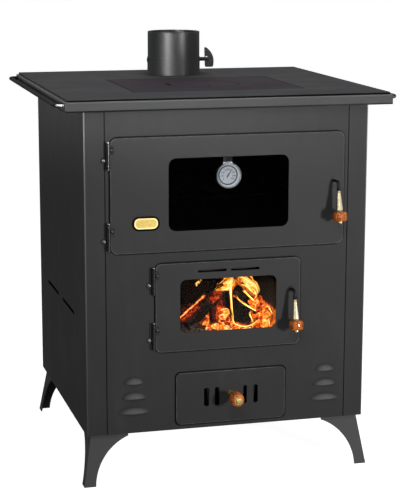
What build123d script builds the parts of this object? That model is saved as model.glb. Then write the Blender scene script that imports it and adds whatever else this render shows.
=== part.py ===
from build123d import *
import math
import os

# Wood cookstove: a sheet-steel body on four splayed legs, with a steel hob, an oven over the
# firebox, an ash drawer below it and a flue spigot with a damper. Millimetres, Z up. The front
# faces -Y, X runs to the right, and the origin is on the floor under the middle of the whole box.

# Body
body_width = 650.0
body_depth = 600.0
body_height = 744.0  # the upright sheets, from the underside to the hob frame
leg_height = 116.0
sheet = 2.0
bend_radius = 4.0  # outside radius of the shells' upright bends
front_return_width = 45.0  # each side shell turns round the front by this much
back_return_width = 30.0
seam_gap = 1.4
joggle_lap = 12.0  # the front sheet's step reaches this far behind each return
fit_gap = 0.3  # running gap between faces that slide or close on each other
axis_x = 7.0  # middle of the drawer, the louvres, the hob inset and the flue
side_slot_length = 150.0
side_slot_height = 9.0
side_slot_pitch = 200.0
side_slot_depth = 312.0  # middle of the pair, behind the front
side_slot_rise = 250.0  # above the body's underside

# Hob
overhang_side = 44.0
overhang_front = 36.0
overhang_back = 56.0
fascia_height = 22.0
fascia_wall = 4.0
fascia_rise = 2.0  # the fascia stands this far over the frame's flange
flange_thickness = 3.0
flange_lap = 20.0  # how far the flange reaches inside the body's sheets
flange_lap_back = 4.0
rope_thickness = 1.0
rope_width = 20.0
rope_inset = 3.0  # from the plate's edge
plate_thickness = 6.0
plate_gap = 1.0
inset_width = 395.0
inset_depth = 310.0
inset_setback = 95.0  # behind the front of the body
inset_gap = 0.8
ledge_width = 12.0
ledge_thickness = 4.0
lid_radius = 85.0
lid_gap = 0.7
lid_step = 6.0
lid_step_depth = 3.0
lift_notch_width = 26.0
lift_notch_length = 8.0
lift_notch_depth = 2.2
lid_dimple_radius = 5.0
lid_dimple_setback = 53.0  # in front of the lid's centre
lid_dimple_depth = 1.0
rail_radius = 4.5
rail_standoff = 18.0
rail_bend = 14.0
rail_drop = 8.0  # rail centre below the top of the fascia
rail_front_setback = 28.0  # from the front of the hob frame
rail_back_setback = 16.0

# Flue
flue_radius = 64.5
flue_wall = 2.0
flue_height = 105.0
flue_collar_wall = 1.0  # added outside, up to the shoulder that the stove pipe stands on
flue_collar_height = 43.0
flue_depth = 528.0  # flue centre behind the front
damper_rise = 35.0  # damper spindle over the hob
damper_gap = 2.0
damper_thickness = 2.0
spindle_radius = 5.0
running_gap = 0.05
spindle_flat = 1.5
spindle_tail = 3.0
spindle_stem = 25.0
key_rise = 31.0  # top and foot of the key from the spindle's axis
key_drop = 20.5
key_width = 24.0
key_thickness = 3.0
key_lap = 10.0  # the spindle's end reaches this far into the key

# Doors
door_thickness = 4.0
door_gap = 0.5  # from the back of a closed door to the body's front
door_lap_side = 12.0
door_lap_edge = 7.0
seal_width = 5.5
seal_corner = 8.0
seal_inner_corner = 4.0
seal_inset = 1.0  # between the rope seal and the top and bottom of the opening
seal_side_inset = 16.0
flange_seat = 8.0  # seat of the rope seals, behind the body's front
glass_thickness = 4.0
glass_lap = 9.0
clip_sheet = 1.5
clip_width = 14.0
clip_reach = 7.0

oven_door_width = 536.0
oven_door_height = 255.0
oven_door_middle = 538.5  # above the body's underside
oven_door_corner = 15.0
oven_window_width = 276.0
oven_window_height = 162.0
oven_window_corner = 17.0
oven_hinge_spread = 89.0
oven_pivot_x = 246.7
oven_pivot_rise = 555.3
oven_clip_spread = 55.0

fire_door_width = 336.0
fire_door_height = 201.0
fire_door_middle = 283.5
fire_door_corner = 11.0
fire_window_width = 224.0
fire_window_height = 121.0
fire_window_middle = 285.5
fire_window_corner = 14.0
fire_hinge_spread = 62.5
fire_pivot_x = 147.7
fire_pivot_rise = 311.7
fire_clip_spread = 42.0

# Air slots over the firebox window, and the plate that slides behind them
air_slot_length = 67.0
air_slot_height = 6.4
air_slot_pitch = 76.0
air_slot_rise = 364.0
air_slide_height = 10.0
air_slide_thickness = 1.5
air_slide_lap = 4.0
air_notch_length = 17.0  # the right end of each slot stays open
air_lobe_low = -0.9  # lower edge of the slide over each slot, from the slots' middle
air_lobe_left = 0.8
air_lobe_right = 1.6
air_travel = 20.0
air_guide_sheet = 1.3
air_guide_length = 10.0
air_guide_reach = 84.0

# Hinges
hinge_height = 60.0
hinge_radius = 4.0
hinge_pin_radius = 2.4
hinge_knuckle_top = 6.0
hinge_knuckle_bottom = 9.0
hinge_knuckle_gap = 0.4
hinge_stand = 6.5  # pin centre in front of the body
hinge_side = 4.7  # pin centre beside the door's edge
hinge_leaf_width = 8.0
hinge_leaf_thickness = 2.0
hinge_tab_reach = 12.5
hinge_tab_height = 18.0
hinge_tab_rise = 13.0
hinge_tab_thickness = 2.5
hinge_bolt_radius = 4.5
hinge_bolt_height = 2.6
hinge_screw_drop = 10.0
hinge_screw_side = 8.5
hinge_ear_radius = 6.5

# Door handles: distances along the handle are from the bend of its arm
arm_radius = 3.5
arm_reach = 22.5
arm_bend = 9.0
arm_length = 20.0
arm_tilt = 10.8  # degrees from upright
arm_collar_radius = 7.0
arm_collar_thickness = 2.0
arm_ball_radius = 4.8
arm_tip_radius = 9.0
arm_tip_length = 10.0  # the part of the ball that stands out of the arm
shank_length = 46.0
shank_top_radius = 3.6
shank_bottom_radius = 7.6
handle_bead_radius = 16.2
handle_bead_length = 23.0
handle_core_radius = 3.0
handle_cap_radius = 5.4
handle_cap_length = 5.0
cam_length = 18.0
cam_width = 12.0
cam_thickness = 4.0
cam_gap = 0.8  # between the cam and the back of the front sheet

# Badge, left bare, and oven thermometer
badge_x = -189.0
badge_rise = 476.8
badge_width = 61.0
badge_height = 32.0
badge_rim = 4.0
badge_rim_thickness = 2.0
badge_thickness = 1.4
gauge_x = 2.0
gauge_rise = 574.0
gauge_radius = 28.5
gauge_depth = 11.0
gauge_wall = 1.5
gauge_rim = 3.0
gauge_stand = 2.0  # behind the glass
gauge_lens_thickness = 1.2
gauge_dial_thickness = 0.8
gauge_needle_thickness = 0.6
gauge_needle_length = 15.0
gauge_needle_tail = 6.0
gauge_post_radius = 1.2
gauge_rest = 32.0  # degrees clockwise from upright
strap_width = 22.0
strap_sheet = 1.2

# Louvres, lowest first
louvre_widths = (75.0, 59.0, 48.0)
louvre_rise = 46.5
louvre_pitch = 34.3
louvre_height = 18.0
louvre_stand = 9.0
louvre_wall = 1.6
louvre_spread = 224.5

# Ash drawer
drawer_width = 256.0
drawer_height = 120.0
drawer_middle = 71.3
drawer_corner = 12.0
drawer_thickness = 3.0
drawer_lap = 8.0
tray_clearance = 2.0
tray_sheet = 1.5
tray_depth = 400.0
tray_height = 68.0
tray_front_height = 25.0
drawer_slot_offsets = (-58.0, -32.0, 32.0, 58.0)
drawer_slot_height = 40.0
drawer_slot_top = 6.0
drawer_slot_foot = 11.0
drawer_slot_rise = 52.0
knob_rise = 76.0
knob_radius = 15.8
knob_length = 28.0
knob_neck_length = 32.0
knob_neck_radius = 6.0
knob_base_radius = 8.5
knob_screw_radius = 3.0
knob_head_radius = 7.0
knob_head_length = 4.0
knob_ring_radius = 9.0
knob_ring_length = 1.2

# Inside
casing_wall = 3.0
casing_gap = 4.0
casing_floor_rise = 390.0
casing_back_gap = 1.5
oven_wall = 2.0
oven_half_width = 228.0
oven_half_height = 108.5
oven_depth = 420.0
oven_flange = 12.0
rack_ledge = 9.0
rack_ledge_thickness = 3.0
rack_ledge_setback = 10.0
rack_rise = 88.0  # over the oven floor
rack_frame_radius = 3.0
rack_wire_radius = 1.8
rack_wires = 14
rack_gap = 2.0
rack_front_gap = 36.0
fire_wall = 4.0
fire_half_width = 138.0
fire_floor_height = 180.0
fire_depth = 400.0
fire_mouth_half_width = 131.0
fire_mouth_low = 206.0
fire_mouth_high = 362.0
fire_flange_half_width = 152.0
fire_flange_low = 188.0
fire_flange_high = 380.0
brick_thickness = 25.0
brick_height = 150.0
grate_side_gap = 2.0  # between the grate and the bricks
grate_front_gap = 46.0
grate_back_gap = 25.0
grate_thickness = 12.0
grate_bearing_side = 11.0  # what the grate lies on round the ash hole
grate_bearing_end = 25.0
grate_slots = 9
grate_slot_width = 9.0
grate_slot_margin = 23.0
grate_bridge = 14.0  # between the two rows of slots
ash_wall = 2.0
ash_half_width = 126.0
ash_floor_rise = 20.6
ash_depth = 420.0

# Legs
leg_sheet = 3.0
leg_inset = 11.0  # top corner of a leg inside the body's corner
leg_splay = 20.0  # foot outside the top corner, both ways
leg_top_width = 85.0
leg_lip = 8.0
leg_foot_width = 27.0
leg_curve_x = 30.0  # a point of the leg's hollow curve, from the top corner
leg_curve_z = 50.0
leg_tab_cut = 55.0  # the top flange loses its inner corner
leg_spare = 20.0  # cut off level at the floor and at the body
leg_bolt_radius = 4.0
leg_bolt_inset = 25.0
leg_bolt_pitch = 30.0
leg_head_radius = 7.0
leg_head_length = 5.0

# Back sheet
vent_count = 5
vent_length = 120.0
vent_height = 8.0
vent_pitch = 26.0
vent_rise = 90.0
screw_rows = 4
screw_head_radius = 5.0
screw_head_height = 2.6
screw_shank_radius = 2.0
screw_inset = 15.0
screw_hole_radius = 2.05

# Firewood: embers on the grate and four burning logs on them
ember_height = 16.0
ember_margin = 8.0
left_log = (-75.0, 125.0, 11.0)  # start: x, behind the front, over the embers
leaning_log = (-12.0, 100.0, 10.0)
right_log = (62.0, 75.0, 24.0)
upper_log = (45.0, 105.0, 84.0)
log_sides = 7
log_taper = 0.86
log_waviness = 0.12

# Levels and depths that follow
base = leg_height
top = base + body_height
flange_top = top + flange_thickness
fascia_top = flange_top + fascia_rise
plate_under = flange_top + rope_thickness
hob_top = plate_under + plate_thickness
knob_reach = drawer_thickness + door_gap + knob_neck_length + knob_length
knob_reach += knob_ring_length + knob_head_length


def bead_profile(radius, length, bore):
    """Half outline of a turned wooden bead: rounded ends and two fine grooves."""
    shape = (
        (0.62, 0.0),
        (0.86, 0.07),
        (0.97, 0.2),
        (1.0, 0.33),
        (0.955, 0.36),
        (1.0, 0.39),
        (1.0, 0.61),
        (0.955, 0.64),
        (1.0, 0.67),
        (0.97, 0.8),
        (0.86, 0.93),
        (0.62, 1.0),
    )
    outside = [(radius * r, length * s) for r, s in shape]
    return [(bore, 0), *outside, (bore, length)]


def handle_bead_reach():
    """How far a hanging handle's bead stands in front of its door."""
    tilt = math.radians(arm_tilt)
    start = arm_length + shank_length
    outline = bead_profile(handle_bead_radius, handle_bead_length, handle_core_radius)
    return max((start + s) * math.sin(tilt) + r * math.cos(tilt) for r, s in outline)


handle_reach = door_gap + door_thickness + arm_reach + handle_bead_reach()
overall_front = max(knob_reach, handle_reach)
front = (overall_front - body_depth - overhang_back) / 2  # y of the body's front
back = front + body_depth
half = body_width / 2
door_face = front - door_gap - door_thickness


def block(x0, x1, y0, y1, z0, z1):
    """A box between two corners."""
    middle = Pos((x0 + x1) / 2, (y0 + y1) / 2, (z0 + z1) / 2)
    return middle * Box(abs(x1 - x0), abs(y1 - y0), abs(z1 - z0))


def panel(x, z, width, height, corner, y_back, thickness):
    """A flat plate with rounded corners that faces the front, from y_back forwards."""
    outline = RectangleRounded(width, height, corner)
    return Pos(x, y_back, z) * extrude(Plane.XZ * outline, thickness)


def rod_x(radius, x0, x1, y, z):
    return Pos((x0 + x1) / 2, y, z) * Rot(0, 90, 0) * Cylinder(radius, x1 - x0)


def rod_y(radius, x, y0, y1, z):
    return Pos(x, (y0 + y1) / 2, z) * Rot(90, 0, 0) * Cylinder(radius, y1 - y0)


def rod_z(radius, x, y, z0, z1):
    return Pos(x, y, (z0 + z1) / 2) * Cylinder(radius, z1 - z0)


def turned(points):
    """A turned piece about Z from (radius, height) points, straight between them."""
    line = Polyline(*[(r, 0, z) for r, z in points], close=True)
    return revolve(make_face(line), Axis.Z)


def facing_front(piece, x, y, z):
    """Lays a piece turned about Z so that its +Z points to the front, from (x, y, z)."""
    return Pos(x, y, z) * Rot(90, 0, 0) * piece


def mirrored(piece):
    return mirror(piece, about=Plane.YZ)


# ---- Body sheets ----


def side_shell():
    """Left shell: side, front return and back return, with two slots low in the side."""
    shell = block(-half, -half + front_return_width, front, back, base, top)
    shell = fillet(shell.edges().filter_by(Axis.Z).group_by(Axis.X)[0], bend_radius)
    inner = block(-half + sheet, 0, front + sheet, back - sheet, base, top)
    inner = fillet(inner.edges().filter_by(Axis.Z).group_by(Axis.X)[0], bend_radius - sheet)
    shell -= inner
    shell -= block(-half + back_return_width, 0, back - 3 * sheet, back + sheet, base, top)
    slot = Plane.YZ * SlotOverall(side_slot_length, side_slot_height)
    for step in (-0.5, 0.5):
        place = Pos(
            -half,
            front + side_slot_depth + step * side_slot_pitch,
            base + side_slot_rise,
        )
        shell -= place * extrude(slot, 3 * sheet, both=True)
    for x, z in back_screw_places():
        if x < 0:
            shell -= rod_y(screw_hole_radius, x, back - 2 * sheet, back + sheet, z)
    return shell


def louvre_body(width, height, stand):
    """A pointed dome on its side: an arc turned about the louvre's long axis."""
    half_width = width / 2
    line = Polyline(
        (half_width, stand, 0),
        (half_width, 0, 0),
        (-half_width, 0, 0),
        (-half_width, stand, 0),
    )
    arc = ThreePointArc((-half_width, stand, 0), (0, height, 0), (half_width, stand, 0))
    return revolve(make_face([*line.edges(), arc]), Axis.X)


def front_sheet():
    """The sheet between the returns, stepped behind them, with its openings and louvres."""
    half_sheet = half - front_return_width - seam_gap
    sheet_body = block(-half_sheet, half_sheet, front, front + sheet, base, top)
    for side in (-1, 1):
        sheet_body += block(
            side * (half_sheet - joggle_lap),
            side * (half_sheet + joggle_lap),
            front + sheet,
            front + 2 * sheet,
            base,
            top,
        )
    for width, height, middle, corner in (
        (oven_door_width, oven_door_height, oven_door_middle, oven_door_corner),
        (fire_door_width, fire_door_height, fire_door_middle, fire_door_corner),
    ):
        sheet_body -= panel(
            0,
            base + middle,
            width - 2 * door_lap_side,
            height - 2 * door_lap_edge,
            corner,
            front + 3 * sheet,
            4 * sheet,
        )
    sheet_body -= panel(
        axis_x,
        base + drawer_middle,
        drawer_width - 2 * drawer_lap,
        drawer_height - 2 * drawer_lap,
        tray_clearance,
        front + 3 * sheet,
        4 * sheet,
    )
    for row, width in enumerate(louvre_widths):
        for side in (-1, 1):
            foot = base + louvre_rise + row * louvre_pitch
            place = Pos(axis_x + side * louvre_spread, front + louvre_stand, foot)
            hood = place * louvre_body(width, louvre_height, louvre_stand)
            inner = place * louvre_body(
                width - 2 * louvre_wall,
                louvre_height - louvre_wall,
                louvre_stand,
            )
            x0 = axis_x + side * louvre_spread - width
            x1 = x0 + 2 * width
            keep = block(x0, x1, front - louvre_height, front + sheet, foot, foot + louvre_height)
            sheet_body += hood & keep
            sheet_body -= inner & keep
    return sheet_body


def back_sheet():
    """Sits inside the back returns, with a block of cooling slots."""
    half_sheet = half - bend_radius - fit_gap
    sheet_body = block(
        -half_sheet,
        half_sheet,
        back - 2 * sheet,
        back - sheet,
        base + sheet,
        top,
    )
    slot = Plane.XZ * SlotOverall(vent_length, vent_height)
    for row in range(vent_count):
        for side in (-1, 1):
            place = Pos(side * vent_length, back, base + vent_rise + row * vent_pitch)
            sheet_body -= place * extrude(slot, 4 * sheet, both=True)
    for x, z in back_screw_places():
        sheet_body -= rod_y(screw_hole_radius, x, back - 3 * sheet, back, z)
    return sheet_body


def back_screw_places():
    pitch = (body_height - 2 * screw_inset) / (screw_rows - 1)
    for side in (-1, 1):
        for row in range(screw_rows):
            yield side * (half - screw_inset), base + screw_inset + row * pitch


def dome_head(radius, height):
    """A low domed screw head on the XY plane, with a flat cut off its crown."""
    ball = (radius**2 + height**2) / (2 * height)
    head = Pos(0, 0, height - ball) * Sphere(ball)
    return head & Pos(0, 0, height / 2) * Cylinder(radius, height)


def back_screws():
    screws = []
    for x, z in back_screw_places():
        head = Pos(x, back, z) * Rot(-90, 0, 0) * dome_head(screw_head_radius, screw_head_height)
        screws.append(head + rod_y(screw_shank_radius, x, back - 2 * sheet, back, z))
    return screws


def base_sheet():
    """Bottom sheet with the holes of the leg bolts."""
    sheet_body = block(
        -half + sheet,
        half - sheet,
        front + 2 * sheet,
        back - 2 * sheet,
        base,
        base + sheet,
    )
    for x, y in leg_bolt_places():
        sheet_body -= rod_z(leg_bolt_radius, x, y, base - sheet, base + 2 * sheet)
    return sheet_body


# ---- Hob ----

hob_front = front - overhang_front
hob_back = back + overhang_back
hob_half = half + overhang_side


def hob_frame():
    """A fascia round the hob with a flange that lies on the body's sheets."""
    ring = block(-hob_half, hob_half, hob_front, hob_back, fascia_top - fascia_height, fascia_top)
    ring = fillet(ring.edges().filter_by(Axis.Z), 2.0)
    inside = fascia_wall
    low = fascia_top - fascia_height
    for z0, z1 in ((low, top), (flange_top, fascia_top)):
        ring -= block(
            -hob_half + inside,
            hob_half - inside,
            hob_front + inside,
            hob_back - inside,
            z0,
            z1,
        )
    ring -= block(
        -half + sheet + flange_lap,
        half - sheet - flange_lap,
        front + sheet + flange_lap,
        back - flange_lap_back,
        low,
        fascia_top,
    )
    return ring


def plate_outline(inset, z0, z1):
    return block(
        -hob_half + inset,
        hob_half - inset,
        hob_front + inset,
        hob_back - inset,
        z0,
        z1,
    )


def hob_rope():
    """Flat ceramic rope between the flange and the plate."""
    edge = fascia_wall + plate_gap
    ring = plate_outline(edge + rope_inset, flange_top, plate_under)
    return ring - plate_outline(edge + rope_inset + rope_width, flange_top, plate_under)


inset_middle = front + inset_setback + inset_depth / 2
inset_low = plate_under


def hob_plate():
    """The big plate, with the ledge that carries the inset and the flue's hole."""
    body = plate_outline(fascia_wall + plate_gap, plate_under, hob_top)
    body = fillet(body.edges().filter_by(Axis.Z), 2.0)
    body = chamfer(body.faces().sort_by(Axis.Z)[-1].edges(), 0.6)
    hole_x = inset_width / 2 + inset_gap
    hole_y = inset_depth / 2 + inset_gap
    body -= block(
        axis_x - hole_x,
        axis_x + hole_x,
        inset_middle - hole_y,
        inset_middle + hole_y,
        plate_under,
        hob_top,
    )
    ledge = block(
        axis_x - hole_x - ledge_width,
        axis_x + hole_x + ledge_width,
        inset_middle - hole_y - ledge_width,
        inset_middle + hole_y + ledge_width,
        plate_under - ledge_thickness,
        plate_under,
    )
    ledge -= block(
        axis_x - hole_x + ledge_width,
        axis_x + hole_x - ledge_width,
        inset_middle - hole_y + ledge_width,
        inset_middle + hole_y - ledge_width,
        plate_under - ledge_thickness,
        plate_under,
    )
    body += ledge
    flue_bore = flue_radius - flue_wall
    return body - rod_z(flue_bore, axis_x, front + flue_depth, plate_under, hob_top)


def hob_inset():
    """The lift-out plate over the fire, with a stepped hole for the lid."""
    body = block(
        axis_x - inset_width / 2,
        axis_x + inset_width / 2,
        inset_middle - inset_depth / 2,
        inset_middle + inset_depth / 2,
        inset_low,
        hob_top,
    )
    body = fillet(body.edges().filter_by(Axis.Z), 3.0)
    hole = lid_radius + lid_gap
    body -= rod_z(hole, axis_x, inset_middle, hob_top - lid_step_depth, hob_top)
    return body - rod_z(hole - lid_step, axis_x, inset_middle, inset_low, hob_top)


def hob_lid():
    """Round lid with a step under its rim, a notch for the lifter and a shallow dimple."""
    step_z = hob_top - lid_step_depth
    lid = rod_z(lid_radius, axis_x, inset_middle, step_z, hob_top)
    lid += rod_z(lid_radius - lid_step - 1, axis_x, inset_middle, inset_low, step_z)
    notch = Pos(axis_x - lid_radius + lift_notch_length / 2, inset_middle, hob_top)
    lid -= notch * Box(lift_notch_length, lift_notch_width, 2 * lift_notch_depth)
    dimple_y = inset_middle - lid_dimple_setback
    low = hob_top - lid_dimple_depth
    return lid - rod_z(lid_dimple_radius, axis_x, dimple_y, low, hob_top)


def rail():
    """Left towel rail: a round bar bent into the frame's side at both ends."""
    y0 = hob_front + rail_front_setback
    y1 = hob_back - rail_back_setback
    z = fascia_top - rail_drop
    path = FilletPolyline(
        (-hob_half, y0, z),
        (-hob_half - rail_standoff, y0, z),
        (-hob_half - rail_standoff, y1, z),
        (-hob_half, y1, z),
        radius=rail_bend,
    )
    start = Plane(origin=(-hob_half, y0, z), z_dir=(-1, 0, 0))
    return sweep(start * Circle(rail_radius), path=path)


# ---- Flue ----

flue_y = front + flue_depth
damper_z = hob_top + damper_rise


def flue_spigot():
    """Round spigot, thicker as far as the shoulder over the damper spindle."""
    collar_radius = flue_radius + flue_collar_wall
    tube = rod_z(flue_radius, axis_x, flue_y, hob_top, hob_top + flue_height)
    tube += rod_z(collar_radius, axis_x, flue_y, hob_top, hob_top + flue_collar_height)
    tube -= rod_z(flue_radius - flue_wall, axis_x, flue_y, hob_top, hob_top + flue_height)
    reach = collar_radius + flue_wall
    hole = spindle_radius + running_gap
    return tube - rod_x(hole, axis_x - reach, axis_x + reach, flue_y, damper_z)


def damper_spindle():
    """Round spindle right through the spigot, with a flat for the damper plate."""
    x0 = axis_x - flue_radius - spindle_tail
    x1 = axis_x + flue_radius + spindle_stem
    spindle = rod_x(spindle_radius, x0, x1, flue_y, damper_z)
    reach = flue_radius - flue_wall - damper_gap
    flat = block(
        axis_x - reach,
        axis_x + reach,
        flue_y + spindle_flat,
        flue_y + 2 * spindle_radius,
        damper_z - 2 * spindle_radius,
        damper_z + 2 * spindle_radius,
    )
    return spindle - flat


def damper_plate():
    """Round plate fixed to the flat of the spindle. Upright is open."""
    radius = flue_radius - flue_wall - damper_gap
    y = flue_y + spindle_flat
    return rod_y(radius, axis_x, y, y + damper_thickness, damper_z)


def damper_key():
    """Flat key: a straight inner edge, a bowed outer edge and a slot for the spindle's end."""
    x0 = axis_x + flue_radius + spindle_stem - key_lap
    shoulder = (0.74 * key_width, 0.5 * key_rise)
    outline = make_face(
        [
            Line((1.5, -key_drop), (0, key_rise)),
            ThreePointArc((0, key_rise), shoulder, (key_width, -0.3 * key_rise)),
            Line((key_width, -0.3 * key_rise), (key_width - 1, -key_drop)),
            Line((key_width - 1, -key_drop), (1.5, -key_drop)),
        ]
    )
    corners = outline.vertices().sort_by(Axis.Y)
    outline = fillet(corners[:2], 5.0)
    outline = fillet(outline.vertices().sort_by(Axis.Y)[-1], 2.5)
    wing = extrude(Plane.XZ * outline, key_thickness / 2, both=True)
    key = Pos(x0, flue_y, damper_z) * wing
    return key - rod_x(spindle_radius, x0 - key_lap, x0 + key_lap, flue_y, damper_z)


# ---- Doors ----


def rope_seal(width, height, middle):
    """Rope ring on a door's back, from its face to the seat behind the body's front."""
    outer_w = width - 2 * door_lap_side - 2 * seal_side_inset
    outer_h = height - 2 * door_lap_edge - 2 * seal_inset
    y_back = front + flange_seat - fit_gap
    depth = y_back - (front - door_gap)
    ring = panel(0, base + middle, outer_w, outer_h, seal_corner, y_back, depth)
    inner_w = outer_w - 2 * seal_width
    inner_h = outer_h - 2 * seal_width
    return ring - panel(0, base + middle, inner_w, inner_h, seal_inner_corner, y_back, depth)


def door_panel(width, height, middle, corner, window, pivot):
    """Steel door plate with its window and the bore of the latch spindle."""
    win_w, win_h, win_middle, win_corner = window
    body = panel(0, base + middle, width, height, corner, front - door_gap, door_thickness)
    rim = body.faces().sort_by(Axis.Y)[0].edges()
    body = chamfer(rim, 0.7)
    body -= panel(0, base + win_middle, win_w, win_h, win_corner, front, 2 * door_thickness)
    pivot_x, pivot_rise = pivot
    bore = arm_radius + running_gap
    return body - rod_y(bore, pivot_x, door_face - 1, front, base + pivot_rise)


def door_glass(window):
    win_w, win_h, win_middle = window[:3]
    y_back = front - door_gap + glass_thickness
    width = win_w + 2 * glass_lap
    height = win_h + 2 * glass_lap
    return panel(0, base + win_middle, width, height, 3, y_back, glass_thickness)


def glass_clips(window, spread):
    """Four stepped clips that hold the glass to the door's back, two on each side."""
    win_w, _, win_middle, _ = window
    edge = win_w / 2 + glass_lap
    y0 = front - door_gap
    y1 = y0 + glass_thickness
    clips = []
    for side in (-1, 1):
        for up in (-1, 1):
            z = base + win_middle + up * spread
            z0 = z - clip_width / 2
            z1 = z + clip_width / 2
            x_in = side * (edge - clip_reach)
            x_edge = side * (edge + fit_gap)
            x_step = side * (edge + fit_gap + clip_sheet)
            x_out = side * (edge + fit_gap + clip_reach)
            clip = block(x_in, x_step, y1, y1 + clip_sheet, z0, z1)
            clip += block(x_edge, x_step, y0, y1 + clip_sheet, z0, z1)
            clip += block(x_edge, x_out, y0, y0 + clip_sheet, z0, z1)
            clips.append(clip)
    return clips


oven_window = (oven_window_width, oven_window_height, oven_door_middle - 1, oven_window_corner)
fire_window = (fire_window_width, fire_window_height, fire_window_middle, fire_window_corner)


def fire_door_panel():
    """Firebox door plate with the two air slots and the guides of the air slide."""
    body = door_panel(
        fire_door_width,
        fire_door_height,
        fire_door_middle,
        fire_door_corner,
        fire_window,
        (fire_pivot_x, fire_pivot_rise),
    )
    slot = Plane.XZ * SlotOverall(air_slot_length, air_slot_height)
    z = base + air_slot_rise
    for side in (-0.5, 0.5):
        body -= Pos(side * air_slot_pitch, front, z) * extrude(slot, 3 * door_thickness, both=True)
    y0 = front - door_gap
    y1 = y0 + air_slide_thickness + fit_gap
    inner = air_slide_height / 2 + fit_gap / 2
    for side in (-1, 1):
        x = side * air_guide_reach
        guide = block(
            x - air_guide_length / 2,
            x + air_guide_length / 2,
            y0,
            y1 + air_guide_sheet,
            z - inner - air_guide_sheet,
            z + inner + air_guide_sheet,
        )
        guide -= block(x - air_guide_length, x + air_guide_length, y0, y1, z - inner, z + inner)
        body += guide
    return body


def air_slide():
    """Flat bar behind the air slots, lobed below, that leaves each slot's right end open."""
    guide_end = air_guide_reach + air_guide_length / 2 + air_slide_lap
    y0 = front - door_gap + fit_gap / 2
    y1 = y0 + air_slide_thickness
    z = base + air_slot_rise
    h = air_slide_height / 2
    bar = block(-guide_end - air_travel, guide_end, y0, y1, z - h, z + h)
    for side in (-0.5, 0.5):
        right = side * air_slot_pitch + air_slot_length / 2
        left = right - air_slot_length
        notch = right - air_notch_length
        crest = air_slot_height / 2
        window = make_face(
            [
                Line((left, -2 * h), (left, air_lobe_left)),
                ThreePointArc(
                    (left, air_lobe_left),
                    (0.6 * left + 0.4 * notch, air_lobe_low),
                    (notch, air_lobe_right),
                ),
                Line((notch, air_lobe_right), (notch + 3, crest)),
                Line((notch + 3, crest), (right, crest)),
                Line((right, crest), (right, -2 * h)),
                Line((right, -2 * h), (left, -2 * h)),
            ]
        )
        bar -= Pos(0, y1 + 1, z) * extrude(Plane.XZ * window, 4 * air_slide_thickness)
    return bar


# ---- Hinges ----


def hinge_places(width, middle, spread):
    x = -width / 2 - hinge_side
    for up in (-1, 1):
        yield x, base + middle + up * spread


oven_hinges = list(hinge_places(oven_door_width, oven_door_middle, oven_hinge_spread))
fire_hinges = list(hinge_places(fire_door_width, fire_door_middle, fire_hinge_spread))
pin_y = front - hinge_stand


def hinge_bracket(x, z):
    """Leaf on the body with an ear for its screw, and the top and bottom knuckles."""
    half_height = hinge_height / 2
    leaf_front = front - hinge_leaf_thickness
    leaf = block(x - hinge_leaf_width, x, leaf_front, front, z - half_height, z + half_height)
    ear_x = x - hinge_screw_side
    ear_z = z - hinge_screw_drop
    leaf += rod_y(hinge_ear_radius, ear_x, leaf_front, front, ear_z)
    for z0, z1 in (
        (z + half_height - hinge_knuckle_top, z + half_height),
        (z - half_height, z - half_height + hinge_knuckle_bottom),
    ):
        leaf += rod_z(hinge_radius, x, pin_y, z0, z1)
        leaf += block(x - hinge_radius, x, pin_y, leaf_front, z0, z1)
    leaf -= rod_z(hinge_pin_radius, x, pin_y, z - hinge_height, z + hinge_height)
    return leaf - rod_y(screw_shank_radius, ear_x, leaf_front, front, ear_z)


def hinge_pin(x, z):
    reach = hinge_height / 2 + 0.5
    pin = rod_z(hinge_pin_radius, x, pin_y, z - reach, z + reach)
    return pin + rod_z(hinge_pin_radius + 0.8, x, pin_y, z + hinge_height / 2, z + reach + 0.8)


def hinge_knuckle(x, z):
    """Middle knuckle with the tab that is riveted on the door's face."""
    z0 = z - hinge_height / 2 + hinge_knuckle_bottom + hinge_knuckle_gap
    z1 = z + hinge_height / 2 - hinge_knuckle_top - hinge_knuckle_gap
    knuckle = rod_z(hinge_radius, x, pin_y, z0, z1)
    tab_z = z + hinge_tab_rise
    y0 = door_face - hinge_tab_thickness
    end = hinge_tab_reach - hinge_bolt_radius
    h = hinge_tab_height / 2
    knuckle += block(x, x + end, y0, door_face, tab_z - h, tab_z + h)
    round_end = rod_y(h, x + end, y0, door_face, tab_z)
    knuckle += round_end & block(x, x + hinge_tab_reach, y0, door_face, tab_z - h, tab_z + h)
    head = dome_head(hinge_bolt_radius, hinge_bolt_height)
    knuckle += facing_front(head, x + end, y0, tab_z)
    return knuckle - rod_z(hinge_pin_radius + running_gap, x, pin_y, z0, z1)


def hinge_screws():
    screws = []
    for x, z in oven_hinges + fire_hinges:
        place = (x - hinge_screw_side, z - hinge_screw_drop)
        y = front - hinge_leaf_thickness
        head = facing_front(dome_head(screw_head_radius, screw_head_height), place[0], y, place[1])
        screws.append(head + rod_y(screw_shank_radius, place[0], y, front, place[1]))
    return screws


# ---- Handles and latches ----


def along_handle(piece, pivot):
    """Puts a piece turned about Z on the handle, with Z running from the arm's bend down it."""
    x, rise = pivot
    bend = Pos(x, door_face - arm_reach, base + rise)
    return bend * Rot(180 - arm_tilt, 0, 0) * piece


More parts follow.
